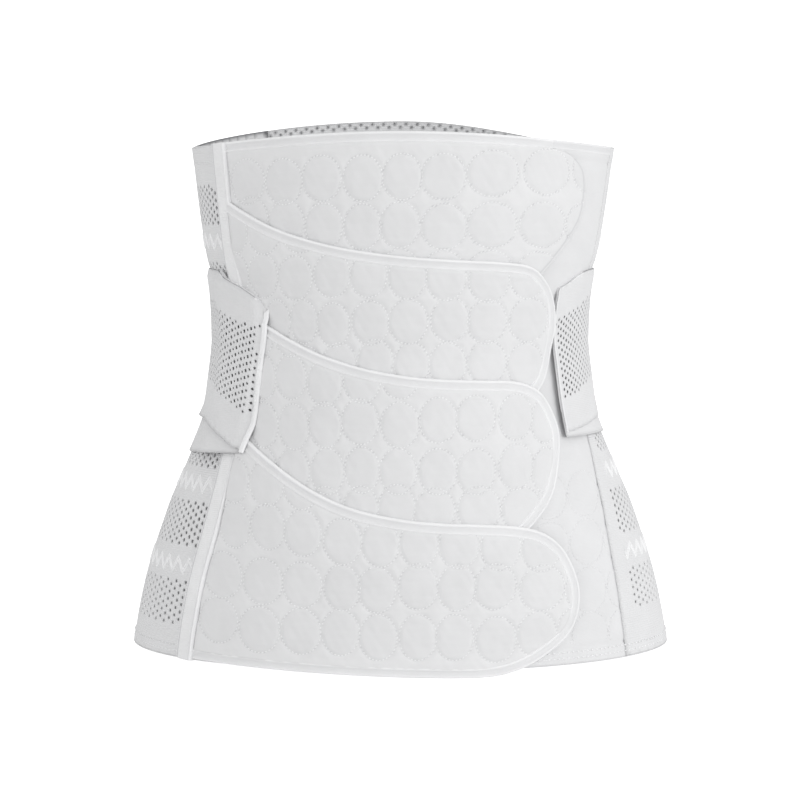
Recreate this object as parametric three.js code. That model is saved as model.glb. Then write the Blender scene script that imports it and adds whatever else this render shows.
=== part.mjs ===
// Abdominal binder: a wrap worn round the waist, with four quilted flaps that close over the
// front, elastic panels at the sides and the back, and a double strap round each side.
// Millimetres, +Z up. The origin is the centre of the waist ring, and the front faces -Y.
// Left and right are as seen from the front, so left is -X.

import * as THREE from 'three';

// Driving dimensions of the worn form, measured to the inner face of the cloth
const RISE_HEIGHT = 114.5;       // from the waist ring up to the top edge, at the sides
const DROP_HEIGHT = 180;         // from the waist ring down to the bottom edge
const FRONT_RISE = 8;            // how much higher the top edge runs at the front centre
const BACK_RISE = 18;            // the same at the back centre
const WAIST_HALF_WIDTH = 108.3;
const WAIST_FRONT_DEPTH = 82;    // depth from the ring's centre to the front
const WAIST_BACK_DEPTH = 84;
const RIB_HALF_WIDTH = 123.7;    // at the level of the top edge
const RIB_FRONT_DEPTH = 92;
const RIB_BACK_DEPTH = 90;
const RIB_SHIFT = 1.5;           // how far this ring stands to the right of the waist ring
const HIP_HALF_WIDTH = 159.2;    // at the level of the bottom edge
const HIP_FRONT_DEPTH = 106;
const HIP_BACK_DEPTH = 122;

// Walls and clearances
const CLOTH = 1.4;               // side, back and base panels
const PAD = 1.8;                 // quilted flap
const BAND = 1;                  // strap
const GAP = 0.65;                // air between two layers
const SEAM = 0.3;                // air between two pieces that meet edge to edge

// Trim
const BINDING_WIDTH = 5.7;       // folded tape round the edge of a flap
const BINDING_PROUD = 0.25;      // how far the tape stands above the flap
const BINDING_ROUNDING = 0.45;   // how much its long edges fall away
const OVERLAP = 16;              // margin of a flap that the next flap down covers
const OVERLAP_SPARE = 2;         // how much further the next flap stays up
const SETTLE = 14;               // length in which an overlapping flap comes down to the base
const CASING_WIDTH = 9.6;        // boning channel that the flaps are sewn into
const CASING_WALL = 3.6;
const CASING_ROUNDING = 1.2;
const CASING_LAP = 6;            // how far the front's base panel reaches under the channel
const PIPING_WIDTH = 2.4;
const PIPING_WALL = 3.9;
const PIPING_ROUNDING = 1;
const END_BINDING_WIDTH = 3;     // tape round the front end of the left strap
const END_LIFT = 2.6;            // how far the right strap's front end stands off the base

// How the form swells from the waist ring up to the rib ring. The level is a share of
// RISE_HEIGHT, and the other columns are shares of the change in half width and depths.
const SWELL_UP = [
  { level: 0, side: 0, front: 0, back: 0 },
  { level: 0.18, side: 0.04, front: 0.08, back: 0.06 },
  { level: 0.27, side: 0.1, front: 0.18, back: 0.15 },
  { level: 0.35, side: 0.205, front: 0.28, back: 0.25 },
  { level: 0.42, side: 0.38, front: 0.38, back: 0.36 },
  { level: 0.5, side: 0.505, front: 0.47, back: 0.45 },
  { level: 0.73, side: 0.757, front: 0.74, back: 0.72 },
  { level: 1, side: 1, front: 1, back: 1 },
  { level: 1.16, side: 1.12, front: 1.12, back: 1.14 },
];

// The same from the waist ring down to the hip ring, with the level as a share of DROP_HEIGHT
const SWELL_DOWN = [
  { level: 0, side: 0, front: 0, back: 0 },
  { level: 0.13, side: 0.053, front: 0.07, back: 0.04 },
  { level: 0.19, side: 0.083, front: 0.13, back: 0.08 },
  { level: 0.24, side: 0.128, front: 0.19, back: 0.13 },
  { level: 0.29, side: 0.193, front: 0.26, back: 0.19 },
  { level: 0.36, side: 0.297, front: 0.365, back: 0.285 },
  { level: 0.44, side: 0.42, front: 0.49, back: 0.41 },
  { level: 0.52, side: 0.545, front: 0.6, back: 0.53 },
  { level: 0.62, side: 0.672, front: 0.71, back: 0.66 },
  { level: 0.74, side: 0.812, front: 0.83, back: 0.8 },
  { level: 0.87, side: 0.923, front: 0.93, back: 0.92 },
  { level: 1, side: 1, front: 1, back: 1 },
  { level: 1.05, side: 1.01, front: 1.01, back: 1.01 },
];

// Places on the binder. Across is 0 at the front centre, 1 at the right side and 2 at the back
// centre, in shares of the length round that quarter, and negative to the left. The level is
// a share of RISE_HEIGHT above the waist ring, and of DROP_HEIGHT below it, where it is negative.

// Right edge of the boning channel, from the top down
const CASING_LINE = [
  { level: 1.03, across: -0.633 },
  { level: 0.73, across: -0.632 },
  { level: 0.39, across: -0.63 },
  { level: 0, across: -0.612 },
  { level: -0.35, across: -0.585 },
  { level: -0.52, across: -0.574 },
  { level: -0.75, across: -0.585 },
  { level: -1.02, across: -0.593 },
];

// Seam between the base panel of the front and the elastic panel at the right, from the top down
const RIGHT_SEAM = [
  { level: 1.03, across: 0.866 },
  { level: 0.41, across: 0.856 },
  { level: 0, across: 0.815 },
  { level: -0.31, across: 0.764 },
  { level: -0.44, across: 0.724 },
  { level: -0.6, across: 0.69 },
  { level: -0.76, across: 0.674 },
  { level: -1, across: 0.668 },
];

// Across of the seams between the side panels and the back panel
const BACK_SEAM = 1.48;

// Across where the tape along the top of the front ends
const TOP_BINDING_END = 0.52;

// Each flap leaves the boning channel at its seam level. Its upper edge runs to the shoulder,
// and its end turns round and under the next flap.
const TOP_FLAP = {
  underTape: [-0.45, -0.25, 0, 0.25, 0.4, 0.5],
  upper: [
    { across: 0.595, level: 0.955 },
  ],
  end: [
    { across: 0.664, level: 0.882 },
    { across: 0.691, level: 0.784 },
    { across: 0.69, level: 0.673 },
    { across: 0.659, level: 0.575 },
    { across: 0.56, level: 0.4 },
    { across: 0.47, level: 0.275 },
  ],
};

const UPPER_FLAP = {
  seamLevel: 0.722,
  upper: [
    { across: -0.474, level: 0.612 },
    { across: -0.346, level: 0.549 },
    { across: -0.189, level: 0.497 },
    { across: 0, level: 0.461 },
    { across: 0.17, level: 0.443 },
    { across: 0.35, level: 0.429 },
    { across: 0.468, level: 0.404 },
    { across: 0.545, level: 0.335 },
  ],
  end: [
    { across: 0.598, level: 0.232 },
    { across: 0.617, level: 0.11 },
    { across: 0.61, level: 0 },
    { across: 0.58, level: -0.085 },
    { across: 0.52, level: -0.15 },
    { across: 0.44, level: -0.19 },
  ],
};

const LOWER_FLAP = {
  seamLevel: 0.168,
  upper: [
    { across: -0.519, level: 0.112 },
    { across: -0.413, level: 0.041 },
    { across: -0.295, level: -0.018 },
    { across: -0.145, level: -0.057 },
    { across: 0, level: -0.081 },
    { across: 0.13, level: -0.093 },
    { across: 0.28, level: -0.099 },
    { across: 0.43, level: -0.107 },
    { across: 0.525, level: -0.142 },
  ],
  end: [
    { across: 0.572, level: -0.208 },
    { across: 0.582, level: -0.285 },
    { across: 0.543, level: -0.39 },
    { across: 0.487, level: -0.477 },
    { across: 0.4, level: -0.56 },
    { across: 0.3, level: -0.635 },
  ],
};

const BOTTOM_FLAP = {
  seamLevel: -0.275,
  upper: [
    { across: -0.45, level: -0.349 },
    { across: -0.317, level: -0.421 },
    { across: -0.215, level: -0.468 },
    { across: -0.121, level: -0.5 },
    { across: 0, level: -0.525 },
    { across: 0.116, level: -0.538 },
    { across: 0.235, level: -0.545 },
    { across: 0.35, level: -0.556 },
    { across: 0.435, level: -0.583 },
    { across: 0.49, level: -0.642 },
  ],
  end: [
    { across: 0.514, level: -0.736 },
    { across: 0.508, level: -0.82 },
    { across: 0.476, level: -0.894 },
    { across: 0.41, level: -0.952 },
    { across: 0.32, level: -1.002 },
  ],
  lower: [
    { across: 0.22, level: -1.022 },
    { across: 0.05, level: -1.018 },
    { across: -0.16, level: -1.01 },
    { across: -0.4, level: -1.001 },
  ],
  lowerSeamLevel: -0.994,
};

// Straps, each from its front end to the back centre
const LEFT_OUTER_STRAP = {
  top: [
    { across: -0.508, level: 0.209 },
    { across: -0.56, level: 0.252 },
    { across: -0.622, level: 0.296 },
    { across: -0.704, level: 0.336 },
    { across: -0.76, level: 0.368 },
    { across: -1, level: 0.377 },
    { across: -1.5, level: 0.36 },
    { across: -2, level: 0.35 },
  ],
  bottom: [
    { across: -0.543, level: -0.335 },
    { across: -0.592, level: -0.313 },
    { across: -0.688, level: -0.274 },
    { across: -0.789, level: -0.25 },
    { across: -1, level: -0.243 },
    { across: -1.5, level: -0.24 },
    { across: -2, level: -0.24 },
  ],
  end: [
    { across: -0.508, level: 0.209 },
    { across: -0.507, level: 0.1 },
    { across: -0.516, level: 0 },
    { across: -0.531, level: -0.12 },
    { across: -0.537, level: -0.25 },
    { across: -0.543, level: -0.335 },
  ],
};

const LEFT_INNER_STRAP = {
  top: [
    { across: -0.54, level: 0.2 },
    { across: -0.622, level: 0.262 },
    { across: -0.704, level: 0.3 },
    { across: -0.78, level: 0.336 },
    { across: -1, level: 0.345 },
    { across: -1.5, level: 0.33 },
    { across: -2, level: 0.32 },
  ],
  bottom: [
    { across: -0.566, level: -0.336 },
    { across: -0.7, level: -0.345 },
    { across: -0.82, level: -0.355 },
    { across: -1, level: -0.362 },
    { across: -1.5, level: -0.34 },
    { across: -2, level: -0.32 },
  ],
  end: [
    { across: -0.54, level: 0.2 },
    { across: -0.548, level: 0 },
    { across: -0.56, level: -0.17 },
    { across: -0.566, level: -0.336 },
  ],
};

const RIGHT_OUTER_STRAP = {
  top: [
    { across: 0.645, level: 0.29 },
    { across: 0.7, level: 0.318 },
    { across: 0.79, level: 0.364 },
    { across: 1, level: 0.377 },
    { across: 1.5, level: 0.36 },
    { across: 2, level: 0.35 },
  ],
  bottom: [
    { across: 0.622, level: -0.276 },
    { across: 0.75, level: -0.262 },
    { across: 0.87, level: -0.249 },
    { across: 1, level: -0.243 },
    { across: 1.5, level: -0.24 },
    { across: 2, level: -0.24 },
  ],
  end: [
    { across: 0.645, level: 0.29 },
    { across: 0.631, level: 0.235 },
    { across: 0.625, level: 0.13 },
    { across: 0.62, level: 0 },
    { across: 0.624, level: -0.15 },
    { across: 0.622, level: -0.276 },
  ],
};

const RIGHT_INNER_STRAP = {
  top: [
    { across: 0.66, level: 0.26 },
    { across: 0.72, level: 0.29 },
    { across: 0.79, level: 0.332 },
    { across: 1, level: 0.345 },
    { across: 1.5, level: 0.33 },
    { across: 2, level: 0.32 },
  ],
  bottom: [
    { across: 0.619, level: -0.291 },
    { across: 0.74, level: -0.292 },
    { across: 0.82, level: -0.294 },
    { across: 1, level: -0.298 },
    { across: 1.5, level: -0.31 },
    { across: 2, level: -0.32 },
  ],
  end: [
    { across: 0.66, level: 0.26 },
    { across: 0.636, level: 0.2 },
    { across: 0.626, level: 0 },
    { across: 0.626, level: -0.17 },
    { across: 0.619, level: -0.291 },
  ],
};

// Across where a strap reaches the side panel, and where it has left the layers of the front
const STRAP_DOWN = 1;
const STRAP_UP = { left: 0.72, right: 0.61 };

// Layers, as distances of their inner faces from the worn form, and the height of one flap
const LAYER_ON_BASE = CLOTH + GAP;
const FLAP_LAYER = PAD + BINDING_PROUD + GAP;
const LAYER_ON_BINDING = LAYER_ON_BASE + 2 * FLAP_LAYER;

// Mesh steps, in millimetres
const WIDE_STEP = 14;            // round the gentle curves of the front and the back
const SIDE_STEP = 11;            // round the sides
const ROW_STEP = 18.5;           // up and down the casing
const TRIM_STEP = 12;
const STRAP_STEP = 9.5;
const STRAP_ROW_STEP = 15;
const ARC_STEPS = 48;

// Levels of the panels' rows below the top edge, closest together where the form bends most
const ROW_LEVELS = [0.84, 0.68, 0.54, 0.44, 0.36, 0.26, 0.1, -0.05, -0.15, -0.23, -0.31, -0.4, -0.5,
  -0.63, -0.8, -1];

// Where the four lines of a tape run, as shares of its width
const TAPE_SHARES = [0, 0.14, 0.86, 1];

const QUARTER_TURN = Math.PI / 2;
const BACK_CENTRE = 2;           // across of the back centre
const { clamp, lerp, smoothstep } = THREE.MathUtils;
const lastOf = (list) => list[list.length - 1];
const lastStep = (line) => line.length - 1;

// Value of a column of a table at a level, on a smooth curve through its rows.
function tableValue(rows, level, column) {
  const rising = rows[0].level < lastOf(rows).level;
  const sorted = rising ? rows : [...rows].reverse();
  const at = clamp(level, sorted[0].level, lastOf(sorted).level);
  const next = Math.max(1, sorted.findIndex((row) => row.level >= at));
  const slope = (a, b) => (sorted[b][column] - sorted[a][column]) / (sorted[b].level - sorted[a].level);
  const slopeAt = (k) => {
    if (k === 0 || k === sorted.length - 1) return k === 0 ? slope(0, 1) * 0.5 : slope(k - 1, k);
    return (slope(k - 1, k) + slope(k, k + 1)) / 2;
  };
  const span = sorted[next].level - sorted[next - 1].level;
  const t = (at - sorted[next - 1].level) / span;
  const start = sorted[next - 1][column];
  const end = sorted[next][column];
  const rise = slopeAt(next - 1) * span * t * (1 - t) ** 2;
  const fall = slopeAt(next) * span * t ** 2 * (1 - t);
  return start + (end - start) * t ** 2 * (3 - 2 * t) + rise - fall;
}

// Half width and depths of the worn form at a height.
function formAt(height) {
  const up = height >= 0;
  const rows = up ? SWELL_UP : SWELL_DOWN;
  const level = Math.abs(height) / (up ? RISE_HEIGHT : DROP_HEIGHT);
  const [width, front, back] = up ? [RIB_HALF_WIDTH, RIB_FRONT_DEPTH, RIB_BACK_DEPTH]
    : [HIP_HALF_WIDTH, HIP_FRONT_DEPTH, HIP_BACK_DEPTH];
  const side = tableValue(rows, level, 'side');
  return {
    shift: up ? RIB_SHIFT * side : 0,
    halfWidth: lerp(WAIST_HALF_WIDTH, width, side),
    front: lerp(WAIST_FRONT_DEPTH, front, tableValue(rows, level, 'front')),
    back: lerp(WAIST_BACK_DEPTH, back, tableValue(rows, level, 'back')),
  };
}

// Running lengths round a quarter of an ellipse, from its middle to its side.
function quarterLengths(halfWidth, depth) {
  const lengths = [0];
  const step = QUARTER_TURN / ARC_STEPS;
  for (let k = 1; k <= ARC_STEPS; k += 1) {
    const turn = (k - 0.5) * step;
    const speed = Math.hypot(halfWidth * Math.cos(turn), depth * Math.sin(turn));
    lengths.push(lengths[k - 1] + speed * step);
  }
  return lengths;
}

// Turn round the quarter at which a running length is reached.
function turnAt(lengths, length) {
  const next = Math.max(1, lengths.findIndex((reached) => reached >= length));
  const share = (length - lengths[next - 1]) / (lengths[next] - lengths[next - 1]);
  return ((next - 1 + share) / ARC_STEPS) * QUARTER_TURN;
}

// The form's ring at a height: its half width and depths, with the lengths round its quarters.
function ringAt(height) {
  const form = formAt(height);
  const frontLengths = quarterLengths(form.halfWidth, form.front);
  const backLengths = quarterLengths(form.halfWidth, form.back);
  const [frontArc, backArc] = [lastOf(frontLengths), lastOf(backLengths)];
  return { ...form, frontLengths, backLengths, frontArc, backArc };
}

// A flat place holds x, the length round the form from the front centre, and y, the height.
function flatPlace(across, height) {
  const ring = ringAt(height);
  const far = Math.abs(across);
  const length = far <= 1 ? far * ring.frontArc : ring.frontArc + (far - 1) * ring.backArc;
  return new THREE.Vector2(Math.sign(across) * length, height);
}

const heightOf = (level) => level * (level > 0 ? RISE_HEIGHT : DROP_HEIGHT);
const placeOf = (row) => flatPlace(row.across, heightOf(row.level));
const levelOf = (height) => height / (height > 0 ? RISE_HEIGHT : DROP_HEIGHT);

// The point of the binder over a flat place, at a distance out from the worn form.
function pointOver(place, out) {
  const ring = ringAt(place.y);
  const far = Math.min(Math.abs(place.x), ring.frontArc + ring.backArc);
  const behind = far > ring.frontArc;
  const depth = behind ? ring.back : -ring.front;
  const turn = behind ? turnAt(ring.backLengths, ring.frontArc + ring.backArc - far)
    : turnAt(ring.frontLengths, far);
  const side = place.x < 0 ? -1 : 1;
  const normal = new THREE.Vector2((side * Math.sin(turn)) / ring.halfWidth, Math.cos(turn) / depth);
  normal.normalize();
  const x = ring.shift + side * ring.halfWidth * Math.sin(turn) + normal.x * out;
  const y = depth * Math.cos(turn) + normal.y * out;
  return new THREE.Vector3(x, y, place.y);
}

// Height of the top edge at an across. The back holds its height further round than the front.
function topEdgeHeight(across) {
  const [rise, power] = Math.abs(across) <= 1 ? [FRONT_RISE, 2] : [BACK_RISE, 1.2];
  return RISE_HEIGHT + rise * Math.abs(Math.cos(across * QUARTER_TURN)) ** power;
}

const splineThrough = (places) => new THREE.SplineCurve(places);
const stepsFor = (length, step) => Math.max(2, Math.round(length / step));

// Places along a curve through the given ones, evenly spaced.
function spaced(places, count) {
  return splineThrough(places).getSpacedPoints(count);
}

// A line of places moved to the right of its direction, which is into the flap or the strap.
function inset(places, distance) {
  return places.map((place, k) => {
    const before = places[Math.max(0, k - 1)];
    const after = places[Math.min(places.length - 1, k + 1)];
    const along = after.clone().sub(before).normalize();
    return new THREE.Vector2(place.x + along.y * distance, place.y - along.x * distance);
  });
}

// Net of flat places between four edges. Its columns go down from the top edge to the bottom one.
function netBetween(top, bottom, start, end) {
  const columns = top.length - 1;
  const rows = start.length - 1;
  return top.map((upper, i) => start.map((left, j) => {
    const w = i / columns;
    const v = j / rows;
    const place = new THREE.Vector2();
    place.addScaledVector(upper, 1 - v).addScaledVector(bottom[i], v);
    place.addScaledVector(left, 1 - w).addScaledVector(end[j], w);
    place.addScaledVector(top[0], -(1 - w) * (1 - v)).addScaledVector(lastOf(top), -w * (1 - v));
    place.addScaledVector(bottom[0], -(1 - w) * v).addScaledVector(lastOf(bottom), -w * v);
    return place;
  }));
}

// Closed wall over a net of flat places, between its inner and its outer skin. Each skin is
// a function of the column and the row that gives the distance out from the worn form.
function wallOver(net, inner, outer) {
  const columns = net.length;
  const last = columns - 1;
  const rows = net[0].length;
  const skins = [outer, inner].map((skin) => net.map((column, i) => column.map((place, j) => (
    pointOver(place, skin(i, j))))));
  const positions = skins.flat(2).flatMap((point) => point.toArray());
  const at = (layer, i, j) => (layer * columns + i) * rows + j;
  const index = [];
  const quad = (a, b, c, d) => index.push(a, b, c, a, c, d);
  for (let i = 0; i < last; i += 1) {
    for (let j = 0; j < rows - 1; j += 1) {
      quad(at(0, i, j), at(0, i, j + 1), at(0, i + 1, j + 1), at(0, i + 1, j));
      quad(at(1, i, j), at(1, i + 1, j), at(1, i + 1, j + 1), at(1, i, j + 1));
    }
    quad(at(0, i, 0), at(0, i + 1, 0), at(1, i + 1, 0), at(1, i, 0));
    quad(at(0, i, rows - 1), at(1, i, rows - 1), at(1, i + 1, rows - 1), at(0, i + 1, rows - 1));
  }
  for (let j = 0; j < rows - 1; j += 1) {
    quad(at(0, 0, j), at(1, 0, j), at(1, 0, j + 1), at(0, 0, j + 1));
    quad(at(0, last, j), at(0, last, j + 1), at(1, last, j + 1), at(1, last, j));
  }
  const geometry = new THREE.BufferGeometry();
  geometry.setAttribute('position', new THREE.Float32BufferAttribute(positions, 3));
  geometry.setIndex(index);
  geometry.computeVertexNormals();
  return geometry;
}

// Tape along a line of places, with rounded long edges. The skin under it is a function of the
// step along the line, and the named ends stand against the casing.
function tapeAlong(line, width, wall, under, rounding = BINDING_ROUNDING, endsAtCasing = []) {
  const lines = TAPE_SHARES.map((share) => inset(line, width * share));
  for (const moved of lines) {
    for (const end of endsAtCasing) moved[end] = besideCasing(moved[end].y);
  }
  const net = line.map((place, i) => lines.map((moved) => moved[i]));
  const shoulder = (j) => (j === 0 || j === TAPE_SHARES.length - 1 ? rounding : 0);
  return wallOver(net, (i) => under(i), (i, j) => under(i) + wall - shoulder(j));
}

// Distance out that a flap gains where it lies over the flap above, from its upper edge down.
function overlapLift(down) {
  const reach = OVERLAP + OVERLAP_SPARE;
  return FLAP_LAYER * (1 - smoothstep(down, reach, reach + SETTLE));
}

// Panel of the base layer between two seams, each a function from a level to an across.
function basePanel(startSeam, endSeam, columnStep) {
  const middle = flatPlace(startSeam(0), 0).distanceTo(flatPlace(endSeam(0), 0));
  const bottom = flatPlace(startSeam(-1), -DROP_HEIGHT).distanceTo(flatPlace(endSeam(-1), -DROP_HEIGHT));
  const columns = stepsFor(Math.max(middle, bottom), columnStep);
  const net = [];
  for (let i = 0; i <= columns; i += 1) {
    const topHeight = topEdgeHeight(lerp(startSeam(1), endSeam(1), i / columns));
    net.push([topHeight, ...ROW_LEVELS.map(heightOf)].map((height) => {
      const level = levelOf(height);
      const place = flatPlace(lerp(startSeam(level), endSeam(level), i / columns), height);
      place.x += lerp(SEAM / 2, -SEAM / 2, i / columns);
      return place;
    }));
  }
  return wallOver(net, () => 0, () => CLOTH);
}

const casingAcross = (level) => tableValue(CASING_LINE, level, 'across');
const rightSeamAcross = (level) => tableValue(RIGHT_SEAM, level, 'across');

// Base panel of the front and panels of the sides and the back. They meet under the casing, at
// the right seam and at the seams of the back.
function baseGeometries() {
  const underCasing = (level) => casingAcross(level) - CASING_LAP / ringAt(heightOf(level)).frontArc;
  return {
    front: basePanel(underCasing, rightSeamAcross, WIDE_STEP),
    left: basePanel(() => -BACK_SEAM, underCasing, SIDE_STEP),
    right: basePanel(rightSeamAcross, () => BACK_SEAM, SIDE_STEP),
  };
}

// Panel of the back, whose net passes the back centre.
function backGeometry() {
  const share = BACK_CENTRE - BACK_SEAM;
  const columns = 2 * stepsFor(share * ringAt(-DROP_HEIGHT).backArc, WIDE_STEP);
  const net = [];
  for (let i = 0; i <= columns; i += 1) {
    const across = BACK_CENTRE + lerp(-share, share, i / columns);
    const wrapped = across > BACK_CENTRE ? across - 2 * BACK_CENTRE : across;
    net.push([topEdgeHeight(wrapped), ...ROW_LEVELS.map(heightOf)].map((height) => {
      const place = flatPlace(wrapped, height);
      place.x += lerp(SEAM / 2, -SEAM / 2, i / columns);
      return place;
    }));
  }
  return wallOver(net, () => 0, () => CLOTH);
}

// Place beside the casing, where a flap starts at a height.
function besideCasing(height) {
  const place = flatPlace(casingAcross(levelOf(height)), height);
  place.x += SEAM;
  return place;
}

// Step of a line of places that lies nearest to a mark.
function nearestStep(line, mark) {
  const distances = line.map((place) => place.distanceTo(mark));
  return distances.indexOf(Math.min(...distances));
}

// Outline of a bound flap: its edge from the casing round its end, and the step of its shoulder.
function flapOutline(flap) {
  const upper = [besideCasing(heightOf(flap.seamLevel)), ...flap.upper.map(placeOf)];
  const lower = flap.lower ? [...flap.lower.map(placeOf), besideCasing(heightOf(flap.lowerSeamLevel))] : [];
  const curve = splineThrough([...upper, ...flap.end.map(placeOf), ...lower]);
  const line = curve.getSpacedPoints(stepsFor(curve.getLength(), TRIM_STEP));
  const shoulder = nearestStep(line, lastOf(upper));
  const turned = flap.lower ? nearestStep(line, placeOf(flap.lower[0])) : line.length - 1;
  return { line, shoulder, turned, step: curve.getLength() / (line.length - 1) };
}

// Outline of the top flap, which runs under the tape along the top edge.
function topFlapOutline() {
  const belowTape = (across) => flatPlace(across, topEdgeHeight(across) - BINDING_WIDTH - SEAM);
  const first = besideCasing(topEdgeHeight(casingAcross(1)) - BINDING_WIDTH - SEAM);
  const upper = [first, ...TOP_FLAP.underTape.map(belowTape), ...TOP_FLAP.upper.map(placeOf)];
  const curve = splineThrough([...upper, ...TOP_FLAP.end.map(placeOf)]);
  const line = curve.getSpacedPoints(stepsFor(curve.getLength(), TRIM_STEP));
  return { line, shoulder: nearestStep(line, lastOf(upper)), turned: line.length - 1 };
}

// Lower edge of a flap under the next one, from the casing to the flap's own tucked end.
function tuckedEdge(nextOutline, tuck) {
  const covered = inset(nextOutline.line.slice(0, nextOutline.shoulder + 1), OVERLAP);
  const kept = covered.filter((place) => place.x < tuck.x - OVERLAP / 2);
  return [besideCasing(kept[0].y), ...kept.slice(1), tuck];
}

// Quilted pad inside an outline: its upper edge, round end, lower edge and the edge at the casing.
function padGeometry(outline, edgeMargin, lowerEdge, lift) {
  const line = edgeMargin > 0 ? inset(outline.line, edgeMargin) : outline.line;
  const upper = line.slice(0, outline.shoulder + 1);
  const end = line.slice(outline.shoulder, outline.turned + 1);
  const rows = end.length - 1;
  upper[0] = besideCasing(upper[0].y);
  const start = [];
  for (let j = 0; j <= rows; j += 1) start.push(besideCasing(lerp(upper[0].y, lowerEdge[0].y, j / rows)));
  const net = netBetween(upper, spaced(lowerEdge, upper.length - 1), start, end);
  const under = (i, j) => {
    const down = net[i].slice(1, j + 1).reduce((sum, place, k) => sum + place.distanceTo(net[i][k]), 0);
    return LAYER_ON_BASE + lift(down);
  };
  return wallOver(net, under, (i, j) => under(i, j) + PAD);
}

// Tape round a flap's edge, which comes down to the base past the flap's shoulder.
function flapBinding(outline) {
  const under = (i) => LAYER_ON_BASE + overlapLift(Math.max(0, i - outline.shoulder) * outline.step);
  const endsAtCasing = outline.turned < lastStep(outline.line) ? [0, lastStep(outline.line)] : [0];
  return tapeAlong(outline.line, BINDING_WIDTH, PAD + BINDING_PROUD, under, BINDING_ROUNDING, endsAtCasing);
}

// Tape along the top edge of the front, from the casing to its end.
function topBinding() {
  const start = casingAcross(1);
  const places = [];
  const steps = stepsFor((TOP_BINDING_END - start) * ringAt(RISE_HEIGHT).frontArc, TRIM_STEP);
  for (let k = 0; k <= steps; k += 1) {
    const across = lerp(start, TOP_BINDING_END, k / steps);
    places.push(flatPlace(across, topEdgeHeight(across)));
  }
  return tapeAlong(places, BINDING_WIDTH, PAD + BINDING_PROUD, () => LAYER_ON_BASE, BINDING_ROUNDING, [0]);
}

// Boning channel and its piping, along the casing's line from the top edge to the bottom one.
function casingGeometries() {
  const top = topEdgeHeight(casingAcross(1));
  const steps = stepsFor(top + DROP_HEIGHT, ROW_STEP);
  const line = [];
  for (let k = 0; k <= steps; k += 1) {
    const height = lerp(top, -DROP_HEIGHT, k / steps);
    line.push(flatPlace(casingAcross(levelOf(height)), height));
  }
  const channelLine = inset(line, PIPING_WIDTH + SEAM);
  for (const end of [0, steps]) channelLine[end].y = line[end].y;
  const under = () => LAYER_ON_BASE;
  return {
    piping: tapeAlong(line, PIPING_WIDTH, PIPING_WALL, under, PIPING_ROUNDING),
    channel: tapeAlong(channelLine, CASING_WIDTH, CASING_WALL, under, CASING_ROUNDING),
  };
}

// Distance out of a strap's inner face, over the base at the side and over the front's layers.
function strapUnder(place, layer) {
  const left = place.x < 0;
  const across = Math.abs(place.x) / ringAt(place.y).frontArc;
  const raised = left ? LAYER_ON_BINDING - LAYER_ON_BASE : END_LIFT;
  const up = left ? STRAP_UP.left : STRAP_UP.right;
  return LAYER_ON_BASE + layer * (BAND + GAP) + raised * (1 - smoothstep(across, up, STRAP_DOWN));
}

// Strap between its top and bottom edges, from its front end to the back centre. Its layer is 0
// for the inner strap and 1 for the outer one.
function strapGeometry(strap, layer, endMargin = 0) {
  const end = splineThrough(strap.end.map(placeOf));
  const rows = stepsFor(end.getLength(), STRAP_ROW_STEP);
  const top = splineThrough(strap.top.map(placeOf));
  const columns = stepsFor(top.getLength(), STRAP_STEP);
  const side = Math.sign(strap.top[0].across);
  const front = end.getSpacedPoints(rows);
  for (const place of front) place.x += side * endMargin;
  const edges = [strap.top, strap.bottom].map((rowsOf) => {
    const places = spaced(rowsOf.map(placeOf), columns);
    lastOf(places).x -= (side * SEAM) / 2;
    return places;
  });
  edges[0][0].copy(front[0]);
  edges[1][0].copy(lastOf(front));
  const back = front.map((place, j) => lastOf(edges[0]).clone().lerp(lastOf(edges[1]), j / rows));
  const leftToRight = side > 0 ? edges : edges.map((edge) => [...edge].reverse());
  const [start, finish] = side > 0 ? [front, back] : [back, front];
  const net = netBetween(leftToRight[0], leftToRight[1], start, finish);
  const under = (i, j) => strapUnder(net[i][j], layer);
  return wallOver(net, under, (i, j) => under(i, j) + BAND);
}

// Tape round the front end of the left strap.
function strapEndBinding() {
  const curve = splineThrough(LEFT_OUTER_STRAP.end.map(placeOf));
  const line = curve.getSpacedPoints(stepsFor(curve.getLength(), TRIM_STEP));
  const under = (i) => strapUnder(line[i], 1);
  return tapeAlong(line, END_BINDING_WIDTH, BAND + BINDING_PROUD, under);
}

// Cloths of the binder, with the colour and roughness of each
const cloth = (color, roughness) => new THREE.MeshStandardMaterial({ color, roughness, metalness: 0 });
const QUILT = cloth(0xf1f1f2, 0.85);
const ELASTIC = cloth(0xececed, 0.8);
const TAPE = cloth(0xf5f5f6, 0.7);

function piece(name, geometry, material) {
  const mesh = new THREE.Mesh(geometry, material);
  mesh.name = name;
  return mesh;
}

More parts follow.
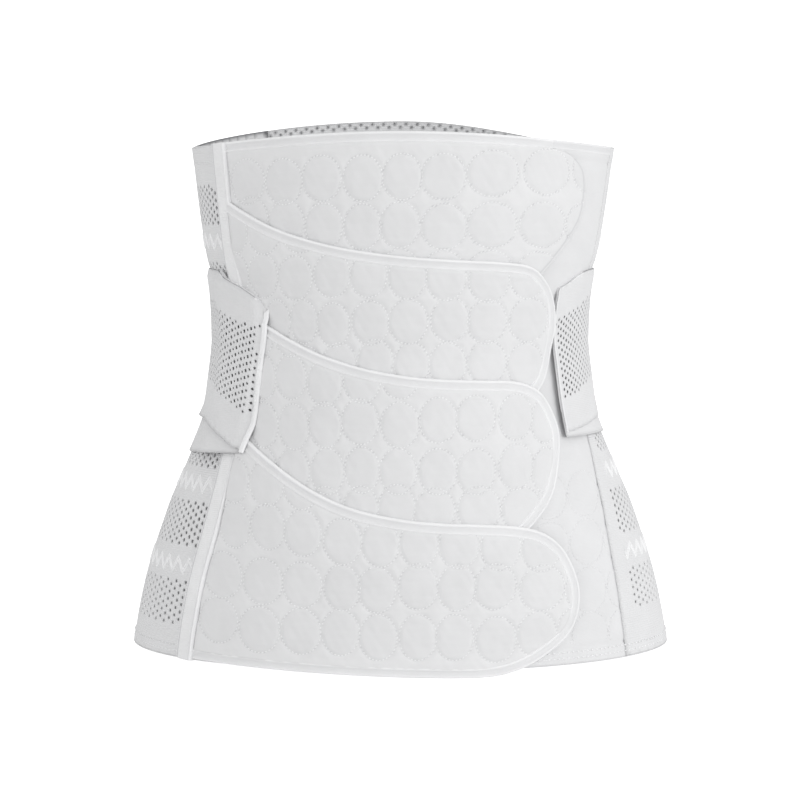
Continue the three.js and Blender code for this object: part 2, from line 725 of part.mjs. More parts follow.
function buildBinder() {
  const binder = new THREE.Group();
  const base = baseGeometries();
  binder.add(
    piece('front_base_panel', base.front, ELASTIC),
    piece('side_panel_left', base.left, ELASTIC),
    piece('side_panel_right', base.right, ELASTIC),
    piece('back_panel', backGeometry(), ELASTIC),
  );

  const top = topFlapOutline();
  const upper = flapOutline(UPPER_FLAP);
  const lower = flapOutline(LOWER_FLAP);
  const bottom = flapOutline(BOTTOM_FLAP);
  const margin = BINDING_WIDTH + SEAM;
  const bottomHem = inset(bottom.line, margin).slice(bottom.turned).reverse();
  bottomHem[0] = besideCasing(bottomHem[0].y);
  const tuckOf = (outline, distance) => lastOf(inset(outline.line, distance));
  binder.add(
    piece('quilted_flap_top', padGeometry(top, 0, tuckedEdge(upper, tuckOf(top, 0)), () => 0), QUILT),
    piece('quilted_flap_upper', padGeometry(upper, margin, tuckedEdge(lower, tuckOf(upper, margin)),
      overlapLift), QUILT),
    piece('quilted_flap_lower', padGeometry(lower, margin, tuckedEdge(bottom, tuckOf(lower, margin)),
      overlapLift), QUILT),
    piece('quilted_flap_bottom', padGeometry(bottom, margin, bottomHem, overlapLift), QUILT),
    piece('binding_top_edge', topBinding(), TAPE),
    piece('binding_upper_flap', flapBinding(upper), TAPE),
    piece('binding_lower_flap', flapBinding(lower), TAPE),
    piece('binding_bottom_flap', flapBinding(bottom), TAPE),
  );

  const casing = casingGeometries();
  binder.add(
    piece('boning_casing_left', casing.channel, ELASTIC),
    piece('casing_piping_left', casing.piping, TAPE),
    piece('strap_left_inner', strapGeometry(LEFT_INNER_STRAP, 0), ELASTIC),
    piece('strap_left_outer', strapGeometry(LEFT_OUTER_STRAP, 1, END_BINDING_WIDTH + SEAM), ELASTIC),
    piece('strap_left_end_binding', strapEndBinding(), TAPE),
    piece('strap_right_inner', strapGeometry(RIGHT_INNER_STRAP, 0), ELASTIC),
    piece('strap_right_outer', strapGeometry(RIGHT_OUTER_STRAP, 1), ELASTIC),
  );
  return binder;
}

export default buildBinder();
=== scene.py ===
"""Looks of the abdominal binder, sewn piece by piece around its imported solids.

Every cloth is modelled flat, as on the cutting table: x is the length round the worn form from
the front centre, y is the height, and z is the distance out from the form, all in millimetres.
WornForm.wear then wraps it round the form, in metres, in the frame of the solids.
"""

import logging
import math
from dataclasses import dataclass, field
from enum import Enum
from typing import Callable, Iterable, Optional, Sequence

import bmesh
import bpy
import numpy as np
from mathutils import Matrix, Vector
from mathutils.kdtree import KDTree


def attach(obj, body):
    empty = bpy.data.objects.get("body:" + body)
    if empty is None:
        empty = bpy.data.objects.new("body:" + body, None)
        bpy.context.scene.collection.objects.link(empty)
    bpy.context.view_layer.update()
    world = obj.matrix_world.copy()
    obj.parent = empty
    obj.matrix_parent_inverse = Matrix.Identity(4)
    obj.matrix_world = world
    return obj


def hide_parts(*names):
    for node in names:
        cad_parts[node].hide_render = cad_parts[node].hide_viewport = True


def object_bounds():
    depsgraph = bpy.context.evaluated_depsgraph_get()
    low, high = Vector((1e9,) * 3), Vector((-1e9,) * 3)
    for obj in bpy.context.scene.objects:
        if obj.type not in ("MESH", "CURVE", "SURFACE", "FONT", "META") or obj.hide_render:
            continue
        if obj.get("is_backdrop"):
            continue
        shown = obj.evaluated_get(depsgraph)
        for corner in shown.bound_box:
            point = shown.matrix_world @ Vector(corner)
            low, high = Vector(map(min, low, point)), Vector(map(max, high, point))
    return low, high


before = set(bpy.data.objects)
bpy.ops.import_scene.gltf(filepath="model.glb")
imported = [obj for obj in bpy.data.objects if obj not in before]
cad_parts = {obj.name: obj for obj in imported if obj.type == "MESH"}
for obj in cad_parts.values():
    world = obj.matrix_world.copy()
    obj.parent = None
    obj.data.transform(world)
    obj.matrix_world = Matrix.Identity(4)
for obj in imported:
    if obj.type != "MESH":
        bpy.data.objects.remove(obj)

log = logging.getLogger("binder")

MM = 0.001
BODY = "root"
Array = np.ndarray
Rows = tuple[tuple[float, float], ...]
Seam = Callable[[Array], Array]
Zone = Callable[[Array, Array, Array], Array]
BATCH = 20000  # points that are worn at once
SPLINE_STEPS = 24  # of each span of a smooth line
CELL_CORNERS = 6  # of a cell of the net
CELL_INSET = 0.3  # of a hole inside its cell, before it is made round
END_STEP = 0.08  # share of a tape's first and last step, which keeps its ends crisp


class Slot(Enum):
    """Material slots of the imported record."""

    QUILT = "quilted_pad"
    KNIT = "knit_panel"
    STRAP = "elastic_strap"
    TAPE = "binding_tape"


class Side(Enum):
    """Side of the binder, as seen from the front."""

    LEFT = -1
    RIGHT = 1


def smoothstep(x: Array, low: float, high: float) -> Array:
    """Rises from 0 at low to 1 at high, level at both ends."""
    t = np.clip((x - low) / (high - low), 0, 1)
    return t * t * (3 - 2 * t)


def bell(x: Array, width: float) -> Array:
    """Falls from 1 at nought to nothing a few widths away."""
    return np.exp(-((x / width) ** 2))


# ---- the worn form


@dataclass(frozen=True)
class Swell:
    """How far a ring has swollen from the waist ring towards an end ring, as shares."""

    level: float
    side: float
    front: float
    back: float


@dataclass(frozen=True)
class Ring:
    """Half width and depths of the form at one of its three main rings, in millimetres."""

    half_width: float
    front: float
    back: float


@dataclass(frozen=True)
class WornForm:
    """The shape that the binder is worn on, to the inner face of its cloth.

    Across is 0 at the front centre, 1 at the side and 2 at the back centre, in shares of the
    length round that quarter, and negative to the left. Past the back centre it goes on to 3.
    """

    rise: float = 114.5
    drop: float = 180.0
    front_rise: float = 8.0
    back_rise: float = 18.0
    waist: Ring = Ring(108.3, 82, 84)
    rib: Ring = Ring(123.7, 92, 90)
    rib_shift: float = 1.5
    hip: Ring = Ring(159.2, 106, 122)
    swell_up: tuple[Swell, ...] = (
        Swell(0, 0, 0, 0),
        Swell(0.18, 0.04, 0.08, 0.06),
        Swell(0.27, 0.1, 0.18, 0.15),
        Swell(0.35, 0.205, 0.28, 0.25),
        Swell(0.42, 0.38, 0.38, 0.36),
        Swell(0.5, 0.505, 0.47, 0.45),
        Swell(0.73, 0.757, 0.74, 0.72),
        Swell(1, 1, 1, 1),
        Swell(1.16, 1.12, 1.12, 1.14),
    )
    swell_down: tuple[Swell, ...] = (
        Swell(0, 0, 0, 0),
        Swell(0.13, 0.053, 0.07, 0.04),
        Swell(0.19, 0.083, 0.13, 0.08),
        Swell(0.24, 0.128, 0.19, 0.13),
        Swell(0.29, 0.193, 0.26, 0.19),
        Swell(0.36, 0.297, 0.365, 0.285),
        Swell(0.44, 0.42, 0.49, 0.41),
        Swell(0.52, 0.545, 0.6, 0.53),
        Swell(0.62, 0.672, 0.71, 0.66),
        Swell(0.74, 0.812, 0.83, 0.8),
        Swell(0.87, 0.923, 0.93, 0.92),
        Swell(1, 1, 1, 1),
        Swell(1.05, 1.01, 1.01, 1.01),
    )
    steps: int = 48

    @staticmethod
    def column(rows: Sequence[Swell], level: Array, name: str) -> Array:
        """Value of a column of a swell table at some levels, on a smooth curve.

        Args:
            rows: The table, from the waist outwards.
            level: Levels as shares of the rise or the drop.
            name: The column.

        Returns:
            The shares at those levels.
        """
        at = np.array([row.level for row in rows])
        value = np.array([getattr(row, name) for row in rows])
        slope = np.diff(value) / np.diff(at)
        tangent = np.concatenate([[slope[0] / 2], (slope[1:] + slope[:-1]) / 2, slope[-1:]])
        x = np.clip(level, at[0], at[-1])
        k = np.clip(np.searchsorted(at, x), 1, len(at) - 1)
        span = at[k] - at[k - 1]
        t = (x - at[k - 1]) / span
        rise = tangent[k - 1] * span * t * (1 - t) ** 2
        fall = tangent[k] * span * t**2 * (1 - t)
        return value[k - 1] + (value[k] - value[k - 1]) * t**2 * (3 - 2 * t) + rise - fall

    def section(self, height: Array) -> tuple[Array, Array, Array, Array]:
        """Sizes of the form's section at some heights.

        Args:
            height: The heights.

        Returns:
            Sideways shift, half width, front depth and back depth at each.
        """
        up = height >= 0
        level = np.abs(height) / np.where(up, self.rise, self.drop)
        ends = ("side", "half_width"), ("front", "front"), ("back", "back")
        found = []
        for swell, size in ends:
            share_up = self.column(self.swell_up, level, swell)
            share_down = self.column(self.swell_down, level, swell)
            start = getattr(self.waist, size)
            above = start + (getattr(self.rib, size) - start) * share_up
            below = start + (getattr(self.hip, size) - start) * share_down
            found.append(np.where(up, above, below))
            if swell == "side":
                shift = np.where(up, self.rib_shift * share_up, 0)
        return shift, found[0], found[1], found[2]

    def lengths(self, half_width: Array, depth: Array) -> Array:
        """Running lengths round a quarter of each ellipse, from its middle to its side.

        Args:
            half_width: Half width of each ellipse.
            depth: Its depth.

        Returns:
            A row for each ellipse, with the length at each step.
        """
        step = math.pi / 2 / self.steps
        turn = (np.arange(self.steps) + 0.5) * step
        across = half_width[:, None] * np.cos(turn)
        along = depth[:, None] * np.sin(turn)
        run = np.cumsum(np.hypot(across, along) * step, axis=1)
        return np.hstack([np.zeros((len(run), 1)), run])

    def arcs(self, height: Array) -> tuple[Array, Array]:
        """Lengths of a front quarter and of a back quarter at some heights."""
        _, half_width, front, back = self.section(height)
        return self.lengths(half_width, front)[:, -1], self.lengths(half_width, back)[:, -1]

    def place(self, across: Array, height: Array) -> Array:
        """Flat places at an across and a height each.

        Args:
            across: The acrosses, or one for all.
            height: The heights, or one for all.

        Returns:
            Rows of x and y.
        """
        across, height = np.broadcast_arrays(
            np.atleast_1d(np.asarray(across, float)), np.atleast_1d(np.asarray(height, float))
        )
        front, back = self.arcs(height)
        far = np.abs(across)
        length = np.where(far <= 1, far * front, front + (far - 1) * back)
        return np.stack([np.sign(across) * length, height], axis=1)

    def across(self, x: Array, height: Array) -> Array:
        """The across of flat places.

        Args:
            x: Their lengths round the form.
            height: Their heights.

        Returns:
            The across of each.
        """
        front, back = self.arcs(height)
        far = np.abs(x)
        return np.sign(x) * np.where(far <= front, far / front, 1 + (far - front) / back)

    def height(self, level: float) -> float:
        """Height of a level, which is a share of the rise above the waist or the drop below."""
        return level * (self.rise if level > 0 else self.drop)

    def places(self, rows: Iterable[tuple[float, float]]) -> Array:
        """Flat places of a table.

        Args:
            rows: Rows of across and level.

        Returns:
            Rows of x and y.
        """
        table = list(rows)
        heights = np.array([self.height(level) for _, level in table])
        return self.place(np.array([across for across, _ in table]), heights)

    def top_edge(self, across: Array) -> Array:
        """Height of the top edge, which holds further round at the back.

        Args:
            across: Where, as acrosses.

        Returns:
            The height at each.
        """
        front = np.abs(across) <= 1
        rise = np.where(front, self.front_rise, self.back_rise)
        right = (across > 0) & (across < 2)
        power = np.where(front, 2.0, np.where(right, 2.6, 1.2))
        return self.rise + rise * np.abs(np.cos(across * math.pi / 2)) ** power

    def wear(self, flat: Array) -> Array:
        """Wraps flat points round the form.

        Args:
            flat: Rows of x, y and the distance out, in millimetres.

        Returns:
            Rows of points in the frame of the solids, in metres.
        """
        parts = [self._wear(flat[k : k + BATCH]) for k in range(0, len(flat), BATCH)]
        return np.vstack(parts) * MM

    def _wear(self, flat: Array) -> Array:
        """Wraps one batch of flat points.

        Args:
            flat: Rows of x, y and the distance out.

        Returns:
            Rows of points in the frame of the solids, in millimetres.
        """
        x, height, out = flat.T
        shift, half_width, front, back = self.section(height)
        fronts = self.lengths(half_width, front)
        backs = self.lengths(half_width, back)
        half = fronts[:, -1] + backs[:, -1]
        x = np.where(np.abs(x) > half, x - 2 * np.sign(x) * half, x)
        far = np.abs(x)
        behind = far > fronts[:, -1]
        runs = np.where(behind[:, None], backs, fronts)
        length = np.where(behind, fronts[:, -1] + backs[:, -1] - far, far)
        k = np.clip((runs < length[:, None]).sum(axis=1), 1, self.steps)
        pick = np.arange(len(k))
        low, high = runs[pick, k - 1], runs[pick, k]
        turn = (k - 1 + (length - low) / (high - low)) / self.steps * math.pi / 2
        depth = np.where(behind, back, -front)
        side = np.where(x < 0, -1.0, 1.0)
        normal = np.stack([side * np.sin(turn) / half_width, np.cos(turn) / depth], axis=1)
        normal /= np.linalg.norm(normal, axis=1)[:, None]
        across = shift + side * half_width * np.sin(turn) + normal[:, 0] * out
        deep = depth * np.cos(turn) + normal[:, 1] * out
        return np.stack([across, deep, height], axis=1)


# ---- lines and nets on the cutting table


def spline(places: Array, step: float = 1.0) -> Array:
    """A smooth line through places, resampled at even steps.

    Args:
        places: Rows of x and y.
        step: Length of a step.

    Returns:
        Rows of x and y along the line, its ends included.
    """
    last = len(places) - 1
    t = np.linspace(0, 1, SPLINE_STEPS, endpoint=False)[:, None]
    runs = []
    for i in range(last):
        p0, p1 = places[max(i - 1, 0)], places[i]
        p2, p3 = places[i + 1], places[min(i + 2, last)]
        v0, v1 = (p2 - p0) / 2, (p3 - p1) / 2
        cubic = (2 * p1 - 2 * p2 + v0 + v1) * t**3
        square = (-3 * p1 + 3 * p2 - 2 * v0 - v1) * t**2
        runs.append(cubic + square + v0 * t + p1)
    return resample(np.vstack([*runs, places[-1:]]), step=step)


def run_lengths(line: Array) -> Array:
    """Running lengths along a line of places."""
    return np.concatenate([[0], np.cumsum(np.linalg.norm(np.diff(line, axis=0), axis=1))])


def resample(line: Array, step: float = 1.0, count: Optional[int] = None) -> Array:
    """The same line at even steps.

    Args:
        line: Rows of x and y.
        step: Length of a step, when no count is given.
        count: Number of steps.

    Returns:
        Rows of x and y, one more than the steps.
    """
    run = run_lengths(line)
    steps = count or max(2, round(run[-1] / step))
    at = np.linspace(0, run[-1], steps + 1)
    return np.stack([np.interp(at, run, line[:, 0]), np.interp(at, run, line[:, 1])], axis=1)


def headings(line: Array) -> Array:
    """Unit directions along a line of places."""
    ahead = np.vstack([line[1:], line[-1:]]) - np.vstack([line[:1], line[:-1]])
    return ahead / np.linalg.norm(ahead, axis=1)[:, None]


def inset(line: Array, distance: float) -> Array:
    """A line moved to the right of its direction."""
    along = headings(line)
    return line + np.stack([along[:, 1], -along[:, 0]], axis=1) * distance


def at_share(line: Array, share: Array) -> Array:
    """Places at shares of the way along an evenly spaced line.

    Args:
        line: Rows of x and y.
        share: The shares.

    Returns:
        A row of x and y for each share.
    """
    at = share * (len(line) - 1)
    k = np.arange(len(line))
    return np.stack([np.interp(at, k, line[:, 0]), np.interp(at, k, line[:, 1])], axis=1)


@dataclass
class Net:
    """A patch between four edges. Its columns go down from the top edge to the bottom one."""

    top: Array
    bottom: Array
    start: Array
    end: Array

    def places(self, across: Array, down: Array) -> Array:
        """Flat places inside the patch.

        Args:
            across: Shares of the way across.
            down: Shares of the way down.

        Returns:
            Rows of x and y.
        """
        s, t = across[:, None], down[:, None]
        sides = at_share(self.top, across) * (1 - t) + at_share(self.bottom, across) * t
        ends = at_share(self.start, down) * (1 - s) + at_share(self.end, down) * s
        upper = self.top[0] * (1 - s) + self.top[-1] * s
        lower = self.bottom[0] * (1 - s) + self.bottom[-1] * s
        return sides + ends - upper * (1 - t) - lower * t

    def width(self) -> float:
        """Mean length of the top and bottom edges."""
        return float(run_lengths(self.top)[-1] + run_lengths(self.bottom)[-1]) / 2

    def depth(self) -> float:
        """Mean length of the start and end edges."""
        return float(run_lengths(self.start)[-1] + run_lengths(self.end)[-1]) / 2


# ---- finishes


@dataclass(frozen=True)
class ClothFinish:
    """A white cloth: its tones, the grain that its surface shows and its sheen."""

    name: str
    colour: tuple[float, float, float]
    # tone that painted shade mixes the colour towards
    shadow: tuple[float, float, float]
    roughness: float
    sheen: float
    rib_pitch: float
    rib_turn: float
    rib_depth: float
    cross_pitch: float
    fuzz: float
    sheen_roughness: float = 0.5
    specular: float = 0.25
    bump_depth: float = 0.25
    cross_share: float = 0.7
    fuzz_scale: float = 900
    mottle_scale: float = 60
    mottle_tone: float = 0.965

    def ribs(self, nodes: bpy.types.Nodes, pitch: float, direction: str) -> bpy.types.Node:
        """A node with the fine ribs of the knit.

        Args:
            nodes: The material's nodes.
            pitch: Length from rib to rib.
            direction: Axis that the ribs follow each other along.

        Returns:
            The node.
        """
        wave = nodes.new("ShaderNodeTexWave")
        wave.wave_type = "BANDS"
        wave.bands_direction = direction
        wave.wave_profile = "SIN"
        wave.inputs["Scale"].default_value = 0.314 / (pitch * MM)
        wave.inputs["Distortion"].default_value = 0.6
        wave.inputs["Detail"].default_value = 1.0
        wave.inputs["Detail Scale"].default_value = 3.0
        return wave

    def material(self) -> bpy.types.Material:
        """The finish as a procedural material that reads the cloth's flat coordinates.

        Returns:
            The material, which is made once.
        """
        found = bpy.data.materials.get(self.name)
        if found:
            return found
        made = bpy.data.materials.new(self.name)
        made.use_nodes = True
        nodes, links = made.node_tree.nodes, made.node_tree.links
        shader = nodes["Principled BSDF"]
        shader.inputs["Roughness"].default_value = self.roughness
        shader.inputs["Sheen Weight"].default_value = self.sheen
        shader.inputs["Sheen Roughness"].default_value = self.sheen_roughness
        shader.inputs["Specular IOR Level"].default_value = self.specular

        flat = nodes.new("ShaderNodeAttribute")
        flat.attribute_name = "flat"
        turned = nodes.new("ShaderNodeMapping")
        turned.inputs["Rotation"].default_value = (0, 0, self.rib_turn)
        links.new(flat.outputs["Vector"], turned.inputs["Vector"])

        heights = []
        for pitch, direction in ((self.rib_pitch, "Y"), (self.cross_pitch, "X")):
            if pitch:
                wave = self.ribs(nodes, pitch, direction)
                links.new(turned.outputs["Vector"], wave.inputs["Vector"])
                heights.append(wave.outputs["Fac"])
        fuzz = nodes.new("ShaderNodeTexNoise")
        fuzz.inputs["Scale"].default_value = self.fuzz_scale
        fuzz.inputs["Detail"].default_value = 3
        links.new(flat.outputs["Vector"], fuzz.inputs["Vector"])
        grain = nodes.new("ShaderNodeMath")
        grain.operation = "MULTIPLY_ADD"
        grain.inputs[1].default_value = self.fuzz
        links.new(fuzz.outputs["Fac"], grain.inputs[0])
        links.new(heights[0], grain.inputs[2])
        height = grain.outputs["Value"]
        if len(heights) > 1:
            woven = nodes.new("ShaderNodeMath")
            woven.operation = "MULTIPLY_ADD"
            woven.inputs[1].default_value = self.cross_share
            links.new(heights[1], woven.inputs[0])
            links.new(height, woven.inputs[2])
            height = woven.outputs["Value"]
        bump = nodes.new("ShaderNodeBump")
        bump.inputs["Strength"].default_value = self.rib_depth
        bump.inputs["Distance"].default_value = self.bump_depth * MM
        links.new(height, bump.inputs["Height"])
        links.new(bump.outputs["Normal"], shader.inputs["Normal"])

        mottle = nodes.new("ShaderNodeTexNoise")
        mottle.inputs["Scale"].default_value = self.mottle_scale
        mottle.inputs["Detail"].default_value = 2
        links.new(flat.outputs["Vector"], mottle.inputs["Vector"])
        tone = nodes.new("ShaderNodeValToRGB")
        tone.color_ramp.elements[0].position = 0.3
        tone.color_ramp.elements[1].position = 0.7
        tone.color_ramp.elements[0].color = (*[c * self.mottle_tone for c in self.colour], 1)
        tone.color_ramp.elements[1].color = (*self.colour, 1)
        links.new(mottle.outputs["Fac"], tone.inputs["Fac"])
        # painted shade: the shade attribute mixes the colour towards the shadow tone
        shade = nodes.new("ShaderNodeAttribute")
        shade.attribute_name = "shade"
        mixed = nodes.new("ShaderNodeMix")
        mixed.data_type = "RGBA"
        links.new(shade.outputs["Fac"], mixed.inputs["Factor"])
        links.new(tone.outputs["Color"], mixed.inputs[6])
        mixed.inputs[7].default_value = (*self.shadow, 1)
        links.new(mixed.outputs[2], shader.inputs["Base Color"])
        return made


QUILT_CLOTH = ClothFinish(
    "quilted_cloth", (0.76, 0.762, 0.768), (0.4, 0.4, 0.42), 0.85, 0.25, 1.0, 0.785, 0.1, 1.0, 1.0
)
KNIT_CLOTH = ClothFinish(
    "ribbed_elastic_knit", (0.74, 0.742, 0.75), (0.1, 0.1, 0.11), 0.82, 0.2, 1.3, 0.0, 0.5, 0, 0.3
)
BASE_CLOTH = ClothFinish(
    "smooth_base_knit", (0.75, 0.752, 0.76), (0.1, 0.1, 0.11), 0.85, 0.2, 0.8, 0.0, 0.2, 0.6, 0.6
)
STRAP_CLOTH = ClothFinish(
    "strap_webbing", (0.74, 0.742, 0.75), (0.07, 0.07, 0.08), 0.8, 0.15, 1.0, 0.0, 0.3, 1.2, 0.3
)
CASING_CLOTH = ClothFinish(
    "casing_tape", (0.84, 0.842, 0.85), (0.3, 0.3, 0.32), 0.8, 0.2, 1.1, 0.0, 0.35, 0.8, 0.4
)
TAPE_CLOTH = ClothFinish(
    "binding_cloth", (0.9, 0.902, 0.91), (0.22, 0.22, 0.23), 0.7, 0.3, 0.7, 0.7, 0.25, 0.7, 0.3
)
THREAD = ClothFinish(
    "sewing_thread", (0.9, 0.902, 0.91), (0.4, 0.4, 0.4), 0.55, 0.2, 0.35, 0.9, 0.3, 0, 0.2
)


# ---- cloth on the cutting table


@dataclass
class Cloth:
    """One piece of cloth as a flat mesh, until it is worn."""

    mesh: bmesh.types.BMesh
    shares: Array = field(default_factory=lambda: np.zeros((0, 2)))

    @classmethod
    def sheet(cls, columns: int, rows: int) -> "Cloth":
        """A sheet of even cells, whose corners are at shares from 0 to 1.

        Args:
            columns: Number of columns of cells.
            rows: Number of rows.

        Returns:
            The sheet.
        """
        mesh = bmesh.new()
        bmesh.ops.create_grid(mesh, x_segments=columns, y_segments=rows, size=0.5)
        bmesh.ops.translate(mesh, verts=mesh.verts, vec=(0.5, 0.5, 0))
        return cls(mesh)

    @classmethod
    def honeycomb(cls, columns: int, rows: int) -> "Cloth":
        """A sheet of six-sided cells, each two rows high and staggered from column to column.

        Args:
            columns: Number of columns of cells.
            rows: Number of rows, two for each cell.

        Returns:
            The sheet.
        """
        made = cls.sheet(columns, rows)
        mesh = made.mesh
        joined = []
        for edge in mesh.edges:
            a, b = (vert.co for vert in edge.verts)
            line, row = round(min(a.x, b.x) * columns), round(a.y * rows)
            if abs(a.y - b.y) < 1e-6 and 0 < row < rows and (line + row) % 2:
                joined.append(edge)
        for vert in mesh.verts:
            line, row = round(vert.co.x * columns), round(vert.co.y * rows)
            if 0 < line < columns:
                vert.co.x += (1 if (line + row) % 2 == 0 else -1) / CELL_CORNERS / columns
        bmesh.ops.dissolve_edges(mesh, edges=joined, use_verts=False, use_face_split=False)
        return made

    def lay(self, net: Net) -> "Cloth":
        """Lays the sheet out on a net, keeping the shares of its corners."""
        self.shares = np.array([(v.co.x, 1 - v.co.y) for v in self.mesh.verts])
        return self.move(net.places(self.shares[:, 0], self.shares[:, 1]))

    def move(self, places: Array) -> "Cloth":
        """Moves the corners.

        Args:
            places: Rows of x and y, one for each corner.

        Returns:
            The cloth itself.
        """
        self.mesh.verts.index_update()
        for vert, (x, y) in zip(self.mesh.verts, places):
            vert.co = (x, y, 0)
        return self

    def flat(self) -> Array:
        """Flat places of the corners."""
        return np.array([vert.co[:2] for vert in self.mesh.verts])

    def open_net(self, inside: Zone, radius: Callable[[float, float], float]) -> "Cloth":
        """Opens a round hole in each whole cell of a zone.

        Args:
            inside: Tells from the x, the y and the share down of cells which are in the zone.
            radius: Radius of the hole of a cell, from its share across and its share down.

        Returns:
            The cloth itself.
        """
        cells = [face for face in self.mesh.faces if len(face.verts) == CELL_CORNERS]
        centres = np.array([face.calc_center_median() for face in cells])
        corners_of = [[vert.index for vert in face.verts] for face in cells]
        shares = np.array([self.shares[indices].mean(axis=0) for indices in corners_of])
        chosen = inside(centres[:, 0], centres[:, 1], shares[:, 1])
        holes = [(face, *share) for face, share, taken in zip(cells, shares, chosen) if taken]
        faces = [face for face, _, _ in holes]
        bmesh.ops.inset_individual(
            self.mesh, faces=faces, thickness=CELL_INSET, use_even_offset=True
        )
        for face, across, down in holes:
            centre = face.calc_center_median()
            for vert in face.verts:
                away = vert.co - centre
                vert.co = centre + away * (radius(across, down) / away.length)
        bmesh.ops.delete(self.mesh, geom=faces, context="FACES")
        return self

    def wall(
        self,
        low: Array,
        high: Array,
        darkening: Optional[Array] = None,
        inner: float = 0.0,
        rims: float = 0.0,
    ) -> "Cloth":
        """Gives the cloth its wall.

        Args:
            low: Distance out of the inner skin at each corner.
            high: The same for the outer skin.
            darkening: How much of the shadow tone is painted on at each corner.
            inner: How much more painted shade the inner skin takes.
            rims: The same, at the rims of the cloth and of its holes alone, which makes the holes
                look dark.

        Returns:
            The cloth itself.
        """
        number = self.mesh.verts.layers.int.new("corner")
        shade = self.mesh.verts.layers.float.new("shade")
        count = len(self.mesh.verts)
        deeper = [inner + (rims if vert.is_boundary else 0.0) for vert in self.mesh.verts]
        # painted shade, stored per corner in the shade attribute
        for k, vert in enumerate(self.mesh.verts):
            vert[number] = k
            vert[shade] = 0.0 if darkening is None else float(darkening[k])
        made = bmesh.ops.extrude_face_region(
            self.mesh, geom=self.mesh.faces[:], use_keep_orig=True
        )
        above = {item for item in made["geom"] if isinstance(item, bmesh.types.BMVert)}
        low, high = np.broadcast_to(low, count), np.broadcast_to(high, count)
        # the inner skin takes more painted shade, most round the rims of holes
        for vert in self.mesh.verts:
            vert.co.z = (high if vert in above else low)[vert[number]]
            vert[shade] += 0.0 if vert in above else deeper[vert[number]]
        bmesh.ops.recalc_face_normals(self.mesh, faces=self.mesh.faces[:])
        self.mesh.verts.layers.int.remove(number)
        return self


@dataclass
class Sewing:
    """Turns flat meshes into finished pieces on the form."""

    form: WornForm
    pieces: list[bpy.types.Object] = field(default_factory=list)

    def wear(
        self,
        name: str,
        mesh: bmesh.types.BMesh,
        finish: ClothFinish,
        slot: Slot,
        stands_for: Sequence[str] = (),
    ) -> bpy.types.Object:
        """Wraps a flat mesh round the form and dresses it.

        Args:
            name: Name of the piece.
            mesh: The flat mesh, in millimetres.
            finish: Its cloth.
            slot: The record's slot, not used.
            stands_for: The solids that it stands for.

        Returns:
            The finished piece.
        """
        data = bpy.data.meshes.new(name)
        mesh.to_mesh(data)
        mesh.free()
        flat = np.zeros(len(data.vertices) * 3)
        data.vertices.foreach_get("co", flat)
        flat = flat.reshape(-1, 3)
        data.vertices.foreach_set("co", self.form.wear(flat).ravel())
        data.attributes.new("flat", "FLOAT_VECTOR", "POINT")
        data.attributes["flat"].data.foreach_set("vector", (flat * MM).ravel())
        data.shade_smooth()
        data.update()
        piece = bpy.data.objects.new(name, data)
        bpy.context.scene.collection.objects.link(piece)
        data.materials.append(finish.material())
        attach(piece, BODY)
        if stands_for:
            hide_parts(*stands_for)
        self.pieces.append(piece)
        log.info("%s: %d vertices, %d faces", name, len(data.vertices), len(data.polygons))
        return piece

    def sheet(self, piece: bpy.types.Object, net: Net) -> None:
        """Measures its net's edges on the form; the lengths are not kept.

        Args:
            piece: The finished piece, not used.
            net: Its net.
        """
        for line in (net.top, net.bottom, net.start, net.end):
            worn = self.form.wear(np.column_stack([line, np.zeros(len(line))]))
            float(run_lengths(worn)[-1])


@dataclass(frozen=True)
class Stitch:
    """One stitch of thread, as a flattened bead."""

    length: float = 1.35
    width: float = 0.75
    height: float = 0.6

    def sew(self, mesh: bmesh.types.BMesh, place: Array, out: float, angle: float) -> None:
        """Adds a stitch at a flat place.

        Args:
            mesh: The flat mesh that takes it.
            place: Its x and y.
            out: Distance of its middle from the form.
            angle: Its turn in the cloth, from x.
        """
        where = Matrix.Translation((place[0], place[1], out))
        turn = Matrix.Rotation(angle, 4, "Z")
        size = Matrix.Diagonal((self.length, self.width, self.height, 1))
        bmesh.ops.create_icosphere(mesh, subdivisions=1, radius=0.5, matrix=where @ turn @ size)

    def run(
        self, mesh: bmesh.types.BMesh, line: Array, out: Callable[[Array], float], pitch: float
    ) -> None:
        """Sews a run of stitches along a line.

        Args:
            mesh: The flat mesh that takes them.
            line: Rows of x and y.
            out: Distance out at a flat place.
            pitch: Length from stitch to stitch.
        """
        spots = resample(line, step=pitch)
        for spot, way in zip(spots, headings(spots)):
            self.sew(mesh, spot, out(spot), math.atan2(way[1], way[0]))


@dataclass(frozen=True)
class Section:
    """Cross-section of a tape, as rows of shares of its width and of its wall."""

    rows: Rows
    channel: float = 0.5
    channel_width: float = 0.2
    # painted shade in the tape's channel, strongest at its middle
    shade_strength: float = 0.0

    def loop(self, finer: int = 3) -> Array:
        """Its closed outline, rounded and made finer.

        Args:
            finer: Steps from row to row.

        Returns:
            Rows of shares of the width and of the wall.
        """
        ring = np.array(self.rows)
        count = len(ring)
        t = np.arange(finer) / finer
        found = []
        for i in range(count):
            p0, p1, p2, p3 = (ring[(i + k) % count] for k in (-1, 0, 1, 2))
            for s in t:
                v0, v1 = (p2 - p0) * 0.4, (p3 - p1) * 0.4
                cubic = (2 * p1 - 2 * p2 + v0 + v1) * s**3
                square = (-3 * p1 + 3 * p2 - 2 * v0 - v1) * s**2
                found.append(cubic + square + v0 * s + p1)
        return np.array(found)


